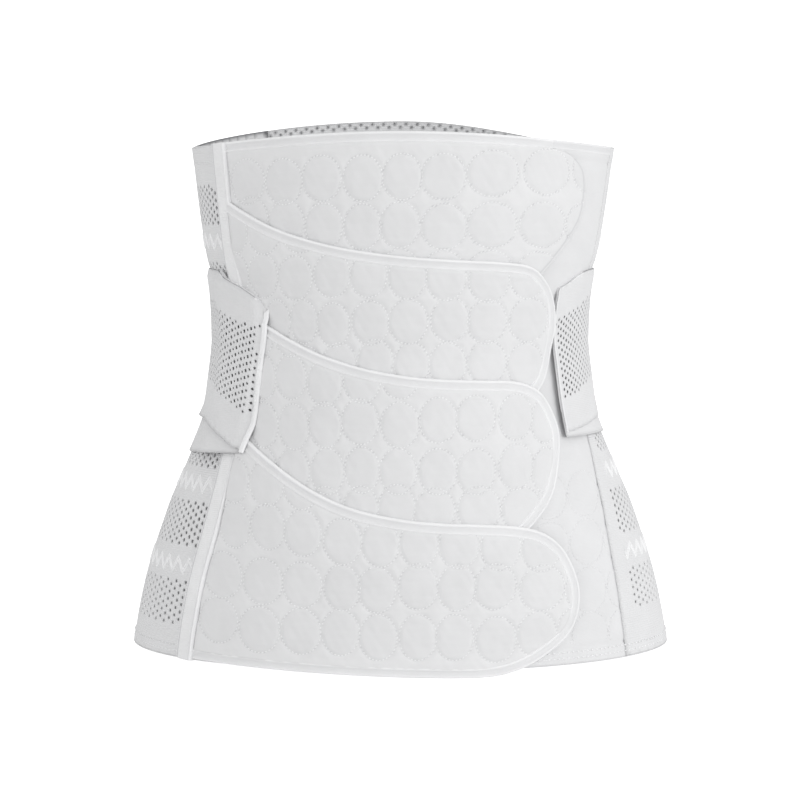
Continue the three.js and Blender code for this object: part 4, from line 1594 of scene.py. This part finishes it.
@dataclass
class FrontFlaps:
    """The four quilted flaps, which start at the casing and close over to the right."""

    sewing: Sewing
    quilting: Quilting = Quilting()
    grain: float = 0.85
    tuck_under: float = 4.9
    stitch: Stitch = Stitch()
    stitch_pitch: float = 2.2
    # painted shade at the needle holes between stitches, least and most
    needle_hole_shade: tuple[float, float] = (0.02, 0.42)
    end_thinning: float = 1.5
    top_end: tuple[float, float] = (0.42, 0.52)
    edge_wall: float = 0.8
    edge_width: float = 3.2
    end_rim: tuple[float, float, float] = (0.5, 1.0, 0.9)
    # painted shade of the dark line beside the end's ridge: strength, place and width
    end_line: tuple[float, float, float] = (0.4, 2.7, 0.8)
    stitch_clear: float = 1.1
    bead: tuple[float, float] = (-0.08, 0.16)

    def tucked_edge(self, line: Array, shoulder: int, tuck: Array) -> Array:
        """Lower edge of a flap under the next one, from the casing to its own tucked end.

        Args:
            line: Outline of the next flap.
            shoulder: Step of its shoulder.
            tuck: Place of the flap's own tucked end.

        Returns:
            Rows of x and y.
        """
        covered = inset(line[: shoulder + 1], LAYERS.overlap)
        kept = covered[covered[:, 0] < tuck[0] - LAYERS.overlap / 2]
        return np.vstack([beside_casing(kept[:1, 1]), kept[1:], tuck])

    def pad(self, flap: Flap, margin: float, lower: Array, lifted: bool) -> None:
        """Builds one quilted pad and its sewn rings.

        Args:
            flap: The flap.
            margin: How far it stays inside its outline.
            lower: Its lower edge.
            lifted: Whether it lies over a flap above.
        """
        line, shoulder, turned = flap.outline()
        line = inset(line, margin)
        upper = line[: shoulder + 1].copy()
        upper[0] = beside_casing(upper[:1, 1])[0]
        end = resample(line[shoulder : turned + 1], count=200)
        start = beside_casing(np.linspace(upper[0, 1], lower[0, 1], 201))
        net = Net(resample(upper, count=300), resample(lower, count=300), start, end)
        columns, rows = round(net.width() / self.grain), round(net.depth() / self.grain)
        cloth = Cloth.sheet(columns, rows).lay(net)
        flat, shares = cloth.flat(), cloth.shares
        edge = net.places(shares[:, 0], np.zeros(len(flat)))
        down = np.linalg.norm(flat - edge, axis=1)
        under = LAYERS.on_base + (LAYERS.lift(down) if lifted else 0)
        tip = net.places(np.ones(len(flat)), shares[:, 1])
        rim = np.minimum(down, np.linalg.norm(flat - tip, axis=1))
        rim = np.minimum(rim, flat[:, 0] - beside_casing(flat[:, 1])[:, 0] + 2)
        soft = smoothstep(rim, 0, self.edge_width)
        discs = flap.discs()
        relief = self.quilting.relief(discs, flat[:, 0], flat[:, 1])
        plain = self.edge_wall + (1 - self.edge_wall) * soft
        high = under + LAYERS.pad * plain + relief * soft
        darkening = self.sew_rings(flap, net, discs, flat, high)
        # a darker painted tone inside each ring
        darkening = np.maximum(darkening, self.quilting.tone(discs, flat))
        if not lifted:
            past = np.linalg.norm(flat - tip, axis=1)
            rise, place, width = self.end_rim
            high += rise * bell(past - place, width)
            # painted shade: a dark line beside the ridge along the end of the top flap
            shade_strength, place, width = self.end_line
            darkening = np.maximum(darkening, shade_strength * bell(past - place, width))
        cloth.wall(under, high, darkening)
        piece = self.sewing.wear(
            f"quilted_{flap.word}", cloth.mesh, QUILT_CLOTH, Slot.QUILT, [flap.node]
        )

    def sew_rings(self, flap: Flap, net: Net, discs: Array, flat: Array, high: Array) -> Array:
        """Sews the rings' stitches into their grooves.

        Args:
            flap: The flap.
            net: Net of its pad.
            discs: Rows of x, y and the two radii of each ring.
            flat: Flat places of the pad's corners.
            high: Distances out of the pad's outer skin there.

        Returns:
            How much painted shade the pad takes at each corner, at the needle's holes.
        """
        tree = KDTree(len(flat))
        for k, (x, y) in enumerate(flat):
            tree.insert((x, y, 0), k)
        tree.balance()
        bounds = np.vstack([net.top, net.end, net.bottom[::-1], net.start[::-1]])
        mesh = bmesh.new()
        sewn: list[Array] = []
        rng = np.random.default_rng(len(discs))
        darkening = np.zeros(len(flat))
        for cx, cy, ru, rz in discs:
            count = round(2 * math.pi * math.hypot(ru, rz) / math.sqrt(2) / self.stitch_pitch)
            for k in range(count):
                turns = 2 * math.pi * np.array([k, k + 0.5]) / count
                spot, hole = np.stack([cx + ru * np.cos(turns), cy + rz * np.sin(turns)], axis=1)
                if not inside_outline(bounds, spot):
                    continue
                gaps = np.linalg.norm(np.array(sewn or [(1e9, 0)]) - spot, axis=1)
                if gaps.min() < self.stitch_clear:
                    continue
                sewn.append(spot)
                near = tree.find((spot[0], spot[1], 0))[1]
                angle = math.atan2(rz * math.cos(turns[0]), -ru * math.sin(turns[0]))
                self.stitch.sew(mesh, spot, high[near] + rng.uniform(*self.bead), angle)
                # painted shade at the needle hole after the stitch, of random strength
                darkening[tree.find((hole[0], hole[1], 0))[1]] = rng.uniform(*self.needle_hole_shade)
        self.sewing.wear(f"rings_{flap.word}", mesh, THREAD, Slot.QUILT)
        return darkening

    def binding(self, name: str, node: str, line: Array, under: Array, thinner: Array) -> None:
        """Builds the folded tape along an edge.

        Args:
            name: Name of the piece.
            node: The solid that it stands for.
            line: The edge, as rows of x and y.
            under: Distance out of its underside, at each row of the edge.
            thinner: How much thinner it is, at each row or the same at all.
        """
        wall = LAYERS.pad + LAYERS.proud - thinner
        made = tape(line, BINDING_WIDTH, wall, under, FOLDED)
        self.sewing.wear(name, made.mesh, TAPE_CLOTH, Slot.TAPE, [node])

    def build(self) -> None:
        """Builds the flaps from the top one down, with their bindings."""
        flaps = (TOP_FLAP, UPPER_FLAP, LOWER_FLAP, BOTTOM_FLAP)
        outlines = [flap.outline() for flap in flaps]
        for k, flap in enumerate(flaps):
            margin = self.tuck_under if k else 0.0
            line, shoulder, turned = outlines[k]
            tuck = inset(line, margin)[-1]
            if flap.lower:
                lower = inset(line, margin)[turned:][::-1]
                lower[0] = beside_casing(lower[:1, 1])[0]
            else:
                below = outlines[k + 1]
                lower = self.tucked_edge(below[0], below[1], tuck)
            self.pad(flap, margin, lower, lifted=k > 0)
            if k:
                past = np.concatenate([np.zeros(shoulder), run_lengths(line[shoulder:])])
                under = LAYERS.on_base + LAYERS.lift(past)
                node = f"binding_{flap.word}_flap"
                self.binding(f"binding_{flap.word}", node, line, under, np.zeros(1))
        first = casing_across(np.array([FORM.rise]))[0]
        across = np.linspace(first, self.top_end[1], 240)
        edge = FORM.place(across, FORM.top_edge(across))
        end = smoothstep(across, *self.top_end)
        under = LAYERS.on_base - (LAYERS.gap - 0.02) * end
        self.binding("binding_top", "binding_top_edge", edge, under, self.end_thinning * end)


def inside_outline(outline: Array, spot: Array) -> bool:
    """Whether a place lies inside a closed outline.

    Args:
        outline: Rows of x and y.
        spot: The place.

    Returns:
        Whether it does.
    """
    x0, y0 = outline.T
    x1, y1 = np.roll(outline, -1, axis=0).T
    crosses = (y0 > spot[1]) != (y1 > spot[1])
    span = np.where(crosses, y1 - y0, 1)
    return bool(np.sum(crosses & (spot[0] < (x1 - x0) * (spot[1] - y0) / span + x0)) % 2)


# ---- casing


@dataclass
class Casing:
    """The boning channel at the left of the flaps, with the piping on its edge."""

    sewing: Sewing
    width: float = 10.2
    wall: float = 3.6
    piping_wall: float = 3.9

    def build(self) -> None:
        """Builds the channel and its piping from the top edge to the bottom one."""
        first = casing_across(np.array([FORM.rise]))
        heights = np.linspace(FORM.top_edge(first)[0], -FORM.drop, 260)
        line = FORM.place(casing_across(heights), heights)
        channel = inset(line, PIPING_WIDTH + LAYERS.seam * 0.2)
        channel[[0, -1], 1] = line[[0, -1], 1]
        under = np.full(len(line), LAYERS.on_base)
        made = tape(line, PIPING_WIDTH, self.piping_wall, under, CORD)
        self.sewing.wear("piping_left", made.mesh, TAPE_CLOTH, Slot.TAPE, ["casing_piping_left"])
        made = tape(channel, self.width, self.wall, under, CHANNEL)
        self.sewing.wear("casing_left", made.mesh, CASING_CLOTH, Slot.KNIT, ["boning_casing_left"])


# ---- straps


@dataclass(frozen=True)
class Strap:
    """One elastic strap, as rows of across and level of its edges."""

    name: str
    node: str
    side: Side
    layer: int
    top: Rows
    bottom: Rows
    end: Rows
    net_zone: Rows = ()
    holes: tuple[float, float] = (1.0, 0.72)
    fold: Rows = ()
    end_margin: float = 0.0


LEFT_END = (
    (-0.508, 0.209), (-0.507, 0.1), (-0.516, 0), (-0.531, -0.12), (-0.537, -0.25),
    (-0.543, -0.335),
)
LEFT_INNER = Strap(
    "strap_inner_left",
    "strap_left_inner",
    Side.LEFT,
    0,
    ((-0.575, 0.225), (-0.622, 0.262), (-0.704, 0.3), (-0.78, 0.336), (-1, 0.345),
     (-1.5, 0.33), (-2, 0.32)),
    ((-0.566, -0.336), (-0.7, -0.345), (-0.82, -0.355), (-1, -0.362), (-1.5, -0.34),
     (-2, -0.32)),
    ((-0.575, 0.225), (-0.58, 0), (-0.582, -0.17), (-0.566, -0.336)),
)
LEFT_OUTER = Strap(
    "strap_outer_left",
    "strap_left_outer",
    Side.LEFT,
    1,
    ((-0.508, 0.209), (-0.56, 0.252), (-0.622, 0.296), (-0.704, 0.336), (-0.76, 0.368),
     (-1, 0.377), (-1.5, 0.36), (-2, 0.35)),
    ((-0.543, -0.335), (-0.592, -0.313), (-0.688, -0.274), (-0.789, -0.25), (-1, -0.243),
     (-1.5, -0.24), (-2, -0.24)),
    LEFT_END,
    net_zone=((-1.36, 0.26), (-1, 0.27), (-0.776, 0.189), (-0.641, 0.138),
              (-0.577, 0.11), (-0.532, 0.117), (-0.553, -0.222), (-0.632, -0.188),
              (-0.722, -0.155), (-0.79, -0.137), (-1, -0.1), (-1.36, -0.15)),
    fold=((-112.7, -29.8), (-110.1, -36.4), (-101.8, -42.6), (-90.1, -49.1)),
    end_margin=3.3,
)
RIGHT_INNER = Strap(
    "strap_inner_right",
    "strap_right_inner",
    Side.RIGHT,
    0,
    ((0.66, 0.26), (0.72, 0.29), (0.79, 0.332), (1, 0.345), (1.5, 0.33), (2, 0.32)),
    ((0.619, -0.291), (0.74, -0.292), (0.82, -0.294), (1, -0.298), (1.5, -0.31),
     (2, -0.32)),
    ((0.66, 0.26), (0.636, 0.2), (0.626, 0), (0.626, -0.17), (0.619, -0.291)),
)
RIGHT_OUTER = Strap(
    "strap_outer_right",
    "strap_right_outer",
    Side.RIGHT,
    1,
    ((0.645, 0.29), (0.7, 0.318), (0.79, 0.364), (1, 0.377), (1.5, 0.36), (2, 0.35)),
    ((0.622, -0.276), (0.75, -0.262), (0.87, -0.249), (1, -0.243), (1.5, -0.24),
     (2, -0.24)),
    ((0.645, 0.29), (0.631, 0.235), (0.625, 0.13), (0.62, 0), (0.624, -0.15),
     (0.622, -0.276)),
    net_zone=((0.628, 0.13), (0.75, 0.18), (0.855, 0.24), (1, 0.28), (1.36, 0.26),
              (1.36, -0.15), (1, -0.1), (0.81, -0.13), (0.64, -0.178)),
    holes=(1.0, 0.88),
)


@dataclass
class Straps:
    """The double straps round the sides, which meet at the back centre."""

    sewing: Sewing
    cell: float = 4.1
    column: float = 2.55
    end_binding: float = 3.0
    over_casing: float = 5.4
    over_ends: tuple[float, float] = (0.2, 1.6)
    curl: dict[Side, float] = field(default_factory=lambda: {Side.LEFT: 2.3, Side.RIGHT: 1.4})
    curl_width: float = 5.0
    low_gap: float = 1.1
    end_rest: Rows = (
        (-60, 7.9), (-53, 7.1), (-49, 5.7), (-44, 4.5), (-35, 4.7), (-24, 5.8), (-14, 6.8),
        (-5, 7.1), (13, 7.0), (17, 5.0), (24, 4.1),
    )
    edging: float = 1.5
    edging_wall: float = 0.95
    stitch: Stitch = Stitch(1.3, 0.9, 0.5)
    last_holes: tuple[float, float] = (0.965, 0.78)
    plain_cell: float = 3.0
    casing_slope: tuple[float, float] = (0.7, 0.86)
    top_slope: float = 0.04
    end_slope: tuple[float, float] = (0.64, 0.84)
    end_lift_height: float = 15.0
    right_gap: float = 0.1
    inner_end_drop: float = 0.45
    low_wall: float = 0.4
    low_width: float = 4.0
    fold_depth: float = 0.4
    fold_width: float = 2.2
    # painted shade on the inner skin round the net's holes
    rims: float = 0.95

    def under(self, flat: Array, layer: int) -> Array:
        """Distance out of a strap's inner face.

        Args:
            flat: Flat places.
            layer: 0 for an inner strap, 1 for an outer one.

        Returns:
            The distance at each place.
        """
        across = FORM.across(flat[:, 0], flat[:, 1])
        return np.where(
            across < 0, self.under_left(flat, across, layer), self.under_right(flat, across, layer)
        )

    def under_left(self, flat: Array, across: Array, layer: int) -> Array:
        """The same at the left, where the straps go over the casing and rest on the flaps.

        Args:
            flat: Flat places.
            across: Their acrosses.
            layer: 0 for the inner strap, 1 for the outer one.

        Returns:
            The distance at each place.
        """
        top = self.curled(LEFT_OUTER, flat)
        low, high = self.casing_slope
        out = self.over_casing * (1 - smoothstep(-across, low, high - self.top_slope * top))
        out += LAYERS.on_base + layer * (LAYERS.band + LAYERS.gap + self.low_lift(flat))
        end = FORM.places(LEFT_END)[::-1]
        past = np.interp(flat[:, 1], end[:, 1], end[:, 0]) - flat[:, 0]
        near = 1 - smoothstep(past, self.end_binding + 0.3, 7.0)
        rest = np.array(self.end_rest)
        drop = out - np.interp(flat[:, 1], rest[:, 0], rest[:, 1])
        out -= near * (drop if layer else self.inner_end_drop)
        return out - self.curl[Side.LEFT] * top

    def under_right(self, flat: Array, across: Array, layer: int) -> Array:
        """The same at the right, where the lower part of the front end stands off the front.

        Args:
            flat: Flat places.
            across: Their acrosses.
            layer: 0 for the inner strap, 1 for the outer one.

        Returns:
            The distance at each place.
        """
        height = self.end_lift_height
        out = self.over_ends[0] + self.over_ends[1] * smoothstep(-flat[:, 1], -height, height)
        out *= 1 - smoothstep(across, *self.end_slope)
        out += LAYERS.on_base + layer * (LAYERS.band + self.right_gap)
        return out - self.curl[Side.RIGHT] * self.curled(RIGHT_OUTER, flat)

    def below(self, rows: Rows, flat: Array) -> Array:
        """How far flat places lie below an edge of a strap.

        Args:
            rows: The edge, as rows of across and level.
            flat: The places.

        Returns:
            The distance of each, less than nought above the edge.
        """
        edge = FORM.places(rows)
        edge = edge[np.argsort(edge[:, 0])]
        return np.interp(flat[:, 0], edge[:, 0], edge[:, 1]) - flat[:, 1]

    def low_lift(self, flat: Array) -> Array:
        """How far the left outer strap's bottom edge stands off the inner strap."""
        above = -self.below(LEFT_OUTER.bottom, flat)
        return self.low_gap * (1 - smoothstep(above, 0, self.curl_width))

    def curled(self, strap: Strap, flat: Array) -> Array:
        """How near places are to a strap's top edge, which curls down: 1 at it, 0 well below."""
        return 1 - smoothstep(self.below(strap.top, flat), 0, self.curl_width)

    def net(self, strap: Strap) -> Net:
        """Net of a strap, its columns from left to right.

        Args:
            strap: The strap.

        Returns:
            The net.
        """
        way = strap.side.value
        end = spline(FORM.places(strap.end))
        end[:, 0] += way * strap.end_margin
        edges = []
        for rows, corner in ((strap.top, end[0]), (strap.bottom, end[-1])):
            line = spline(FORM.places(rows))
            line[-1, 0] -= way * LAYERS.seam / 2
            line[0] = corner
            edges.append(resample(line, count=300))
        front = resample(end, count=100)
        height = np.linspace(edges[0][-1, 1], edges[1][-1, 1], 101)
        back = FORM.place(np.full(101, 2.0 * way), height)
        back[:, 0] -= way * LAYERS.seam / 2
        if strap.side is Side.RIGHT:
            return Net(edges[0], edges[1], front, back)
        return Net(edges[0][::-1], edges[1][::-1], back, front)

    def netted(self, strap: Strap, net: Net) -> Cloth:
        """A strap's cloth with its zone of net.

        Args:
            strap: The strap.
            net: Its net.

        Returns:
            The cloth.
        """
        columns = round(net.width() / self.column)
        zone = FORM.places(strap.net_zone)

        def inside(x: Array, y: Array, down: Array) -> Array:
            """Whether cells are in the zone.

            Args:
                x: Lengths of their centres round the form.
                y: Their heights.
                down: Their shares down the strap, which tell nothing here.

            Returns:
                Whether each cell is opened.
            """
            return np.array([inside_outline(zone, spot) for spot in zip(x, y)])

        def radius(across: float, down: float) -> float:
            """Radius of a hole, which is less in the last columns at the left end.

            Args:
                across: Its share across the strap.
                down: Its share down the strap, which tells nothing here.

            Returns:
                The radius.
            """
            last = strap.side is Side.LEFT and across > self.last_holes[0]
            share = strap.holes[int(across * columns) % 2]
            return share * self.last_holes[1] if last else share

        rows = 2 * round(net.depth() / self.cell)
        return Cloth.honeycomb(columns, rows).lay(net).open_net(inside, radius)

    def strap(self, strap: Strap) -> None:
        """Builds one strap.

        Args:
            strap: Which one.
        """
        net = self.net(strap)
        if strap.net_zone:
            cloth = self.netted(strap, net)
        else:
            columns = round(net.width() / self.plain_cell)
            cloth = Cloth.sheet(columns, round(net.depth() / self.plain_cell)).lay(net)
        flat = cloth.flat()
        under = self.under(flat, strap.layer)
        wall = np.full(len(flat), LAYERS.band)
        if strap.layer and strap.side is Side.RIGHT:
            low = np.interp(flat[:, 0], net.bottom[:, 0], net.bottom[:, 1])
            above = smoothstep(flat[:, 1] - low, 0, self.low_width)
            wall *= self.low_wall + (1 - self.low_wall) * above
        if strap.fold:
            fold = spline(np.array(strap.fold))
            away = np.linalg.norm(flat[:, None] - fold[None], axis=2).min(axis=1)
            wall -= self.fold_depth * bell(away, self.fold_width)
        # the inner skin takes painted shade round the net's holes
        cloth.wall(under, under + wall, rims=self.rims)
        piece = self.sewing.wear(strap.name, cloth.mesh, STRAP_CLOTH, Slot.STRAP, [strap.node])
        self.sewing.sheet(piece, net)

    def end_tape(self) -> None:
        """Builds the tape on the left outer strap's front end, with its row of stitches."""
        line = spline(FORM.places(LEFT_END))
        wall = LAYERS.band + LAYERS.proud
        made = tape(line, self.end_binding, wall, self.under(line, 1), NARROW)
        self.sewing.wear(
            "strap_left_end", made.mesh, TAPE_CLOTH, Slot.TAPE, ["strap_left_end_binding"]
        )
        mesh = bmesh.new()
        sewn = inset(line, self.end_binding * 0.5)[len(line) // 3 :]
        self.stitch.run(mesh, sewn, lambda spot: self.under(spot[None], 1)[0] + wall + 0.05, 2.1)
        self.sewing.wear("stitches_strap_end", mesh, THREAD, Slot.TAPE)

    def edgings(self) -> None:
        """Builds the folded edging of the outer straps' top edges and of the right front end."""
        left_top = spline(FORM.places(LEFT_OUTER.top[:6]))[::-1]
        right_top = spline(FORM.places(RIGHT_OUTER.top[:4]))
        right_end = spline(FORM.places(RIGHT_OUTER.end))[::-1]
        folds = (("left", left_top, 2.4), ("right", right_top, 1.2), ("end", right_end, 1.0))
        for word, line, turned in folds:
            under = self.under(line, 1) + LAYERS.proud - turned
            made = tape(line, self.edging, self.edging_wall + turned, under, CORD)
            self.sewing.wear(f"strap_edge_{word}", made.mesh, CASING_CLOTH, Slot.STRAP)

    def build(self) -> None:
        """Builds both straps of each side, the tape round the left end and the edgings."""
        for strap in (LEFT_INNER, LEFT_OUTER, RIGHT_INNER, RIGHT_OUTER):
            self.strap(strap)
        self.end_tape()
        self.edgings()


# ---- studio


@dataclass(frozen=True)
class SoftLight:
    """A square soft light of the studio, aimed at the binder."""

    name: str
    place: tuple[float, float, float]
    size: float
    power: float

    def build(self) -> None:
        """Places the light."""
        data = bpy.data.lights.new(self.name, "AREA")
        data.size = self.size
        data.energy = self.power
        lamp = bpy.data.objects.new(self.name, data)
        lamp.location = self.place
        aim = Vector((0, 0, -0.03)) - Vector(self.place)
        lamp.rotation_euler = aim.to_track_quat("-Z", "Y").to_euler()
        bpy.context.scene.collection.objects.link(lamp)


@dataclass(frozen=True)
class Studio:
    """The photograph's camera, soft lights, and a plain floor with a curved backdrop."""

    elevation: float = math.radians(5)
    distance: float = 1.5
    lens: float = 112.5
    target: tuple[float, float, float] = (-0.0003, 0, -0.036)
    lights: tuple[SoftLight, ...] = (
        SoftLight("low_right", (1.8, -1.2, 0.1), 1.0, 16.5),
        SoftLight("right", (2.2, -0.3, 0.5), 1.2, 5),
        SoftLight("front", (0.2, -2.4, 0.6), 1.2, 3),
        SoftLight("front_left", (-1.4, -1.9, 0.5), 1.2, 7),
        SoftLight("left", (-2.2, -0.2, 0.4), 1.2, 2),
    )
    ambient: float = 0.72

    def camera(self) -> None:
        """Places the camera at the photograph's angle."""
        data = bpy.data.cameras.new("camera")
        data.lens = self.lens
        data.sensor_width = 36
        data.clip_end = 20
        eye = bpy.data.objects.new("camera", data)
        away = Vector((0, -math.cos(self.elevation), math.sin(self.elevation)))
        eye.location = Vector(self.target) + away * self.distance
        eye.rotation_euler = (math.pi / 2 - self.elevation, 0, 0)
        bpy.context.scene.collection.objects.link(eye)
        bpy.context.scene.camera = eye

    def backdrop(self, floor: float) -> None:
        """Builds the floor and the curved backdrop behind it.

        Args:
            floor: Height of the floor.
        """
        mesh = bmesh.new()
        bmesh.ops.create_grid(mesh, x_segments=4, y_segments=4, size=3)
        rim = [edge for edge in mesh.edges if all(v.co.y > 2.9 for v in edge.verts)]
        bmesh.ops.spin(
            mesh, geom=rim, cent=(0, 3, 1.5), axis=(1, 0, 0), angle=math.pi / 2, steps=16
        )
        rim = [edge for edge in mesh.edges if all(v.co.y > 4.49 for v in edge.verts)]
        raised = bmesh.ops.extrude_edge_only(mesh, edges=rim)["geom"]
        up = [item for item in raised if isinstance(item, bmesh.types.BMVert)]
        bmesh.ops.translate(mesh, verts=up, vec=(0, 0, 3))
        bmesh.ops.translate(mesh, verts=mesh.verts, vec=(0, 0, floor))
        bmesh.ops.recalc_face_normals(mesh, faces=mesh.faces[:])
        sheet = self.paper("backdrop", mesh, 0.9, 0.8)
        sheet.data.shade_smooth()

    def dome(self) -> None:
        """Builds a plain white dome round the scene, which is seen but lights nothing."""
        mesh = bmesh.new()
        bmesh.ops.create_uvsphere(mesh, u_segments=32, v_segments=16, radius=7)
        self.paper("dome", mesh, 0.5, 1.0).visible_shadow = False

    def paper(
        self, name: str, mesh: bmesh.types.BMesh, roughness: float, glow: float
    ) -> bpy.types.Object:
        """Makes a white part of the studio, which lights nothing.

        Args:
            name: Its name.
            mesh: Its mesh.
            roughness: Roughness of its paper.
            glow: Strength of its own white.

        Returns:
            The part.
        """
        data = bpy.data.meshes.new(name)
        mesh.to_mesh(data)
        mesh.free()
        white = bpy.data.materials.new(f"white_{name}")
        white.use_nodes = True
        shader = white.node_tree.nodes["Principled BSDF"]
        shader.inputs["Base Color"].default_value = (0.9, 0.9, 0.9, 1)
        shader.inputs["Roughness"].default_value = roughness
        shader.inputs["Emission Color"].default_value = (1, 1, 1, 1)
        shader.inputs["Emission Strength"].default_value = glow
        data.materials.append(white)
        part = bpy.data.objects.new(name, data)
        part.visible_diffuse = False
        part.visible_glossy = False
        bpy.context.scene.collection.objects.link(part)
        part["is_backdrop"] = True
        return part

    def build(self, floor: float) -> None:
        """Builds the studio round the binder, which stands on the floor.

        Args:
            floor: Height of the floor.
        """
        self.camera()
        for light in self.lights:
            light.build()
        world = bpy.data.worlds.new("studio")
        world.use_nodes = True
        world.node_tree.nodes["Background"].inputs["Color"].default_value = (1, 1, 1, 1)
        world.node_tree.nodes["Background"].inputs["Strength"].default_value = self.ambient
        bpy.context.scene.world = world
        bpy.context.scene.view_settings.view_transform = "Standard"
        self.backdrop(floor)
        self.dome()


def corners(box: Iterable[Iterable[float]]) -> list[list[float]]:
    """The lowest and highest corners of a box as plain lists."""
    return [[float(value) for value in corner] for corner in box]


def main() -> None:
    """Builds the studio and the binder."""
    logging.basicConfig(level=logging.INFO, format="%(message)s")
    solids = corners(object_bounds())
    Studio().build(solids[0][2])
    sewing = Sewing(FORM)
    BaseLayer(sewing).build()
    FrontFlaps(sewing).build()
    Casing(sewing).build()
    Straps(sewing).build()
    sizes = {"cad": solids, "visual": corners(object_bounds())}
    log.info("sizes: %s", sizes)


if __name__ == "__main__":
    main()
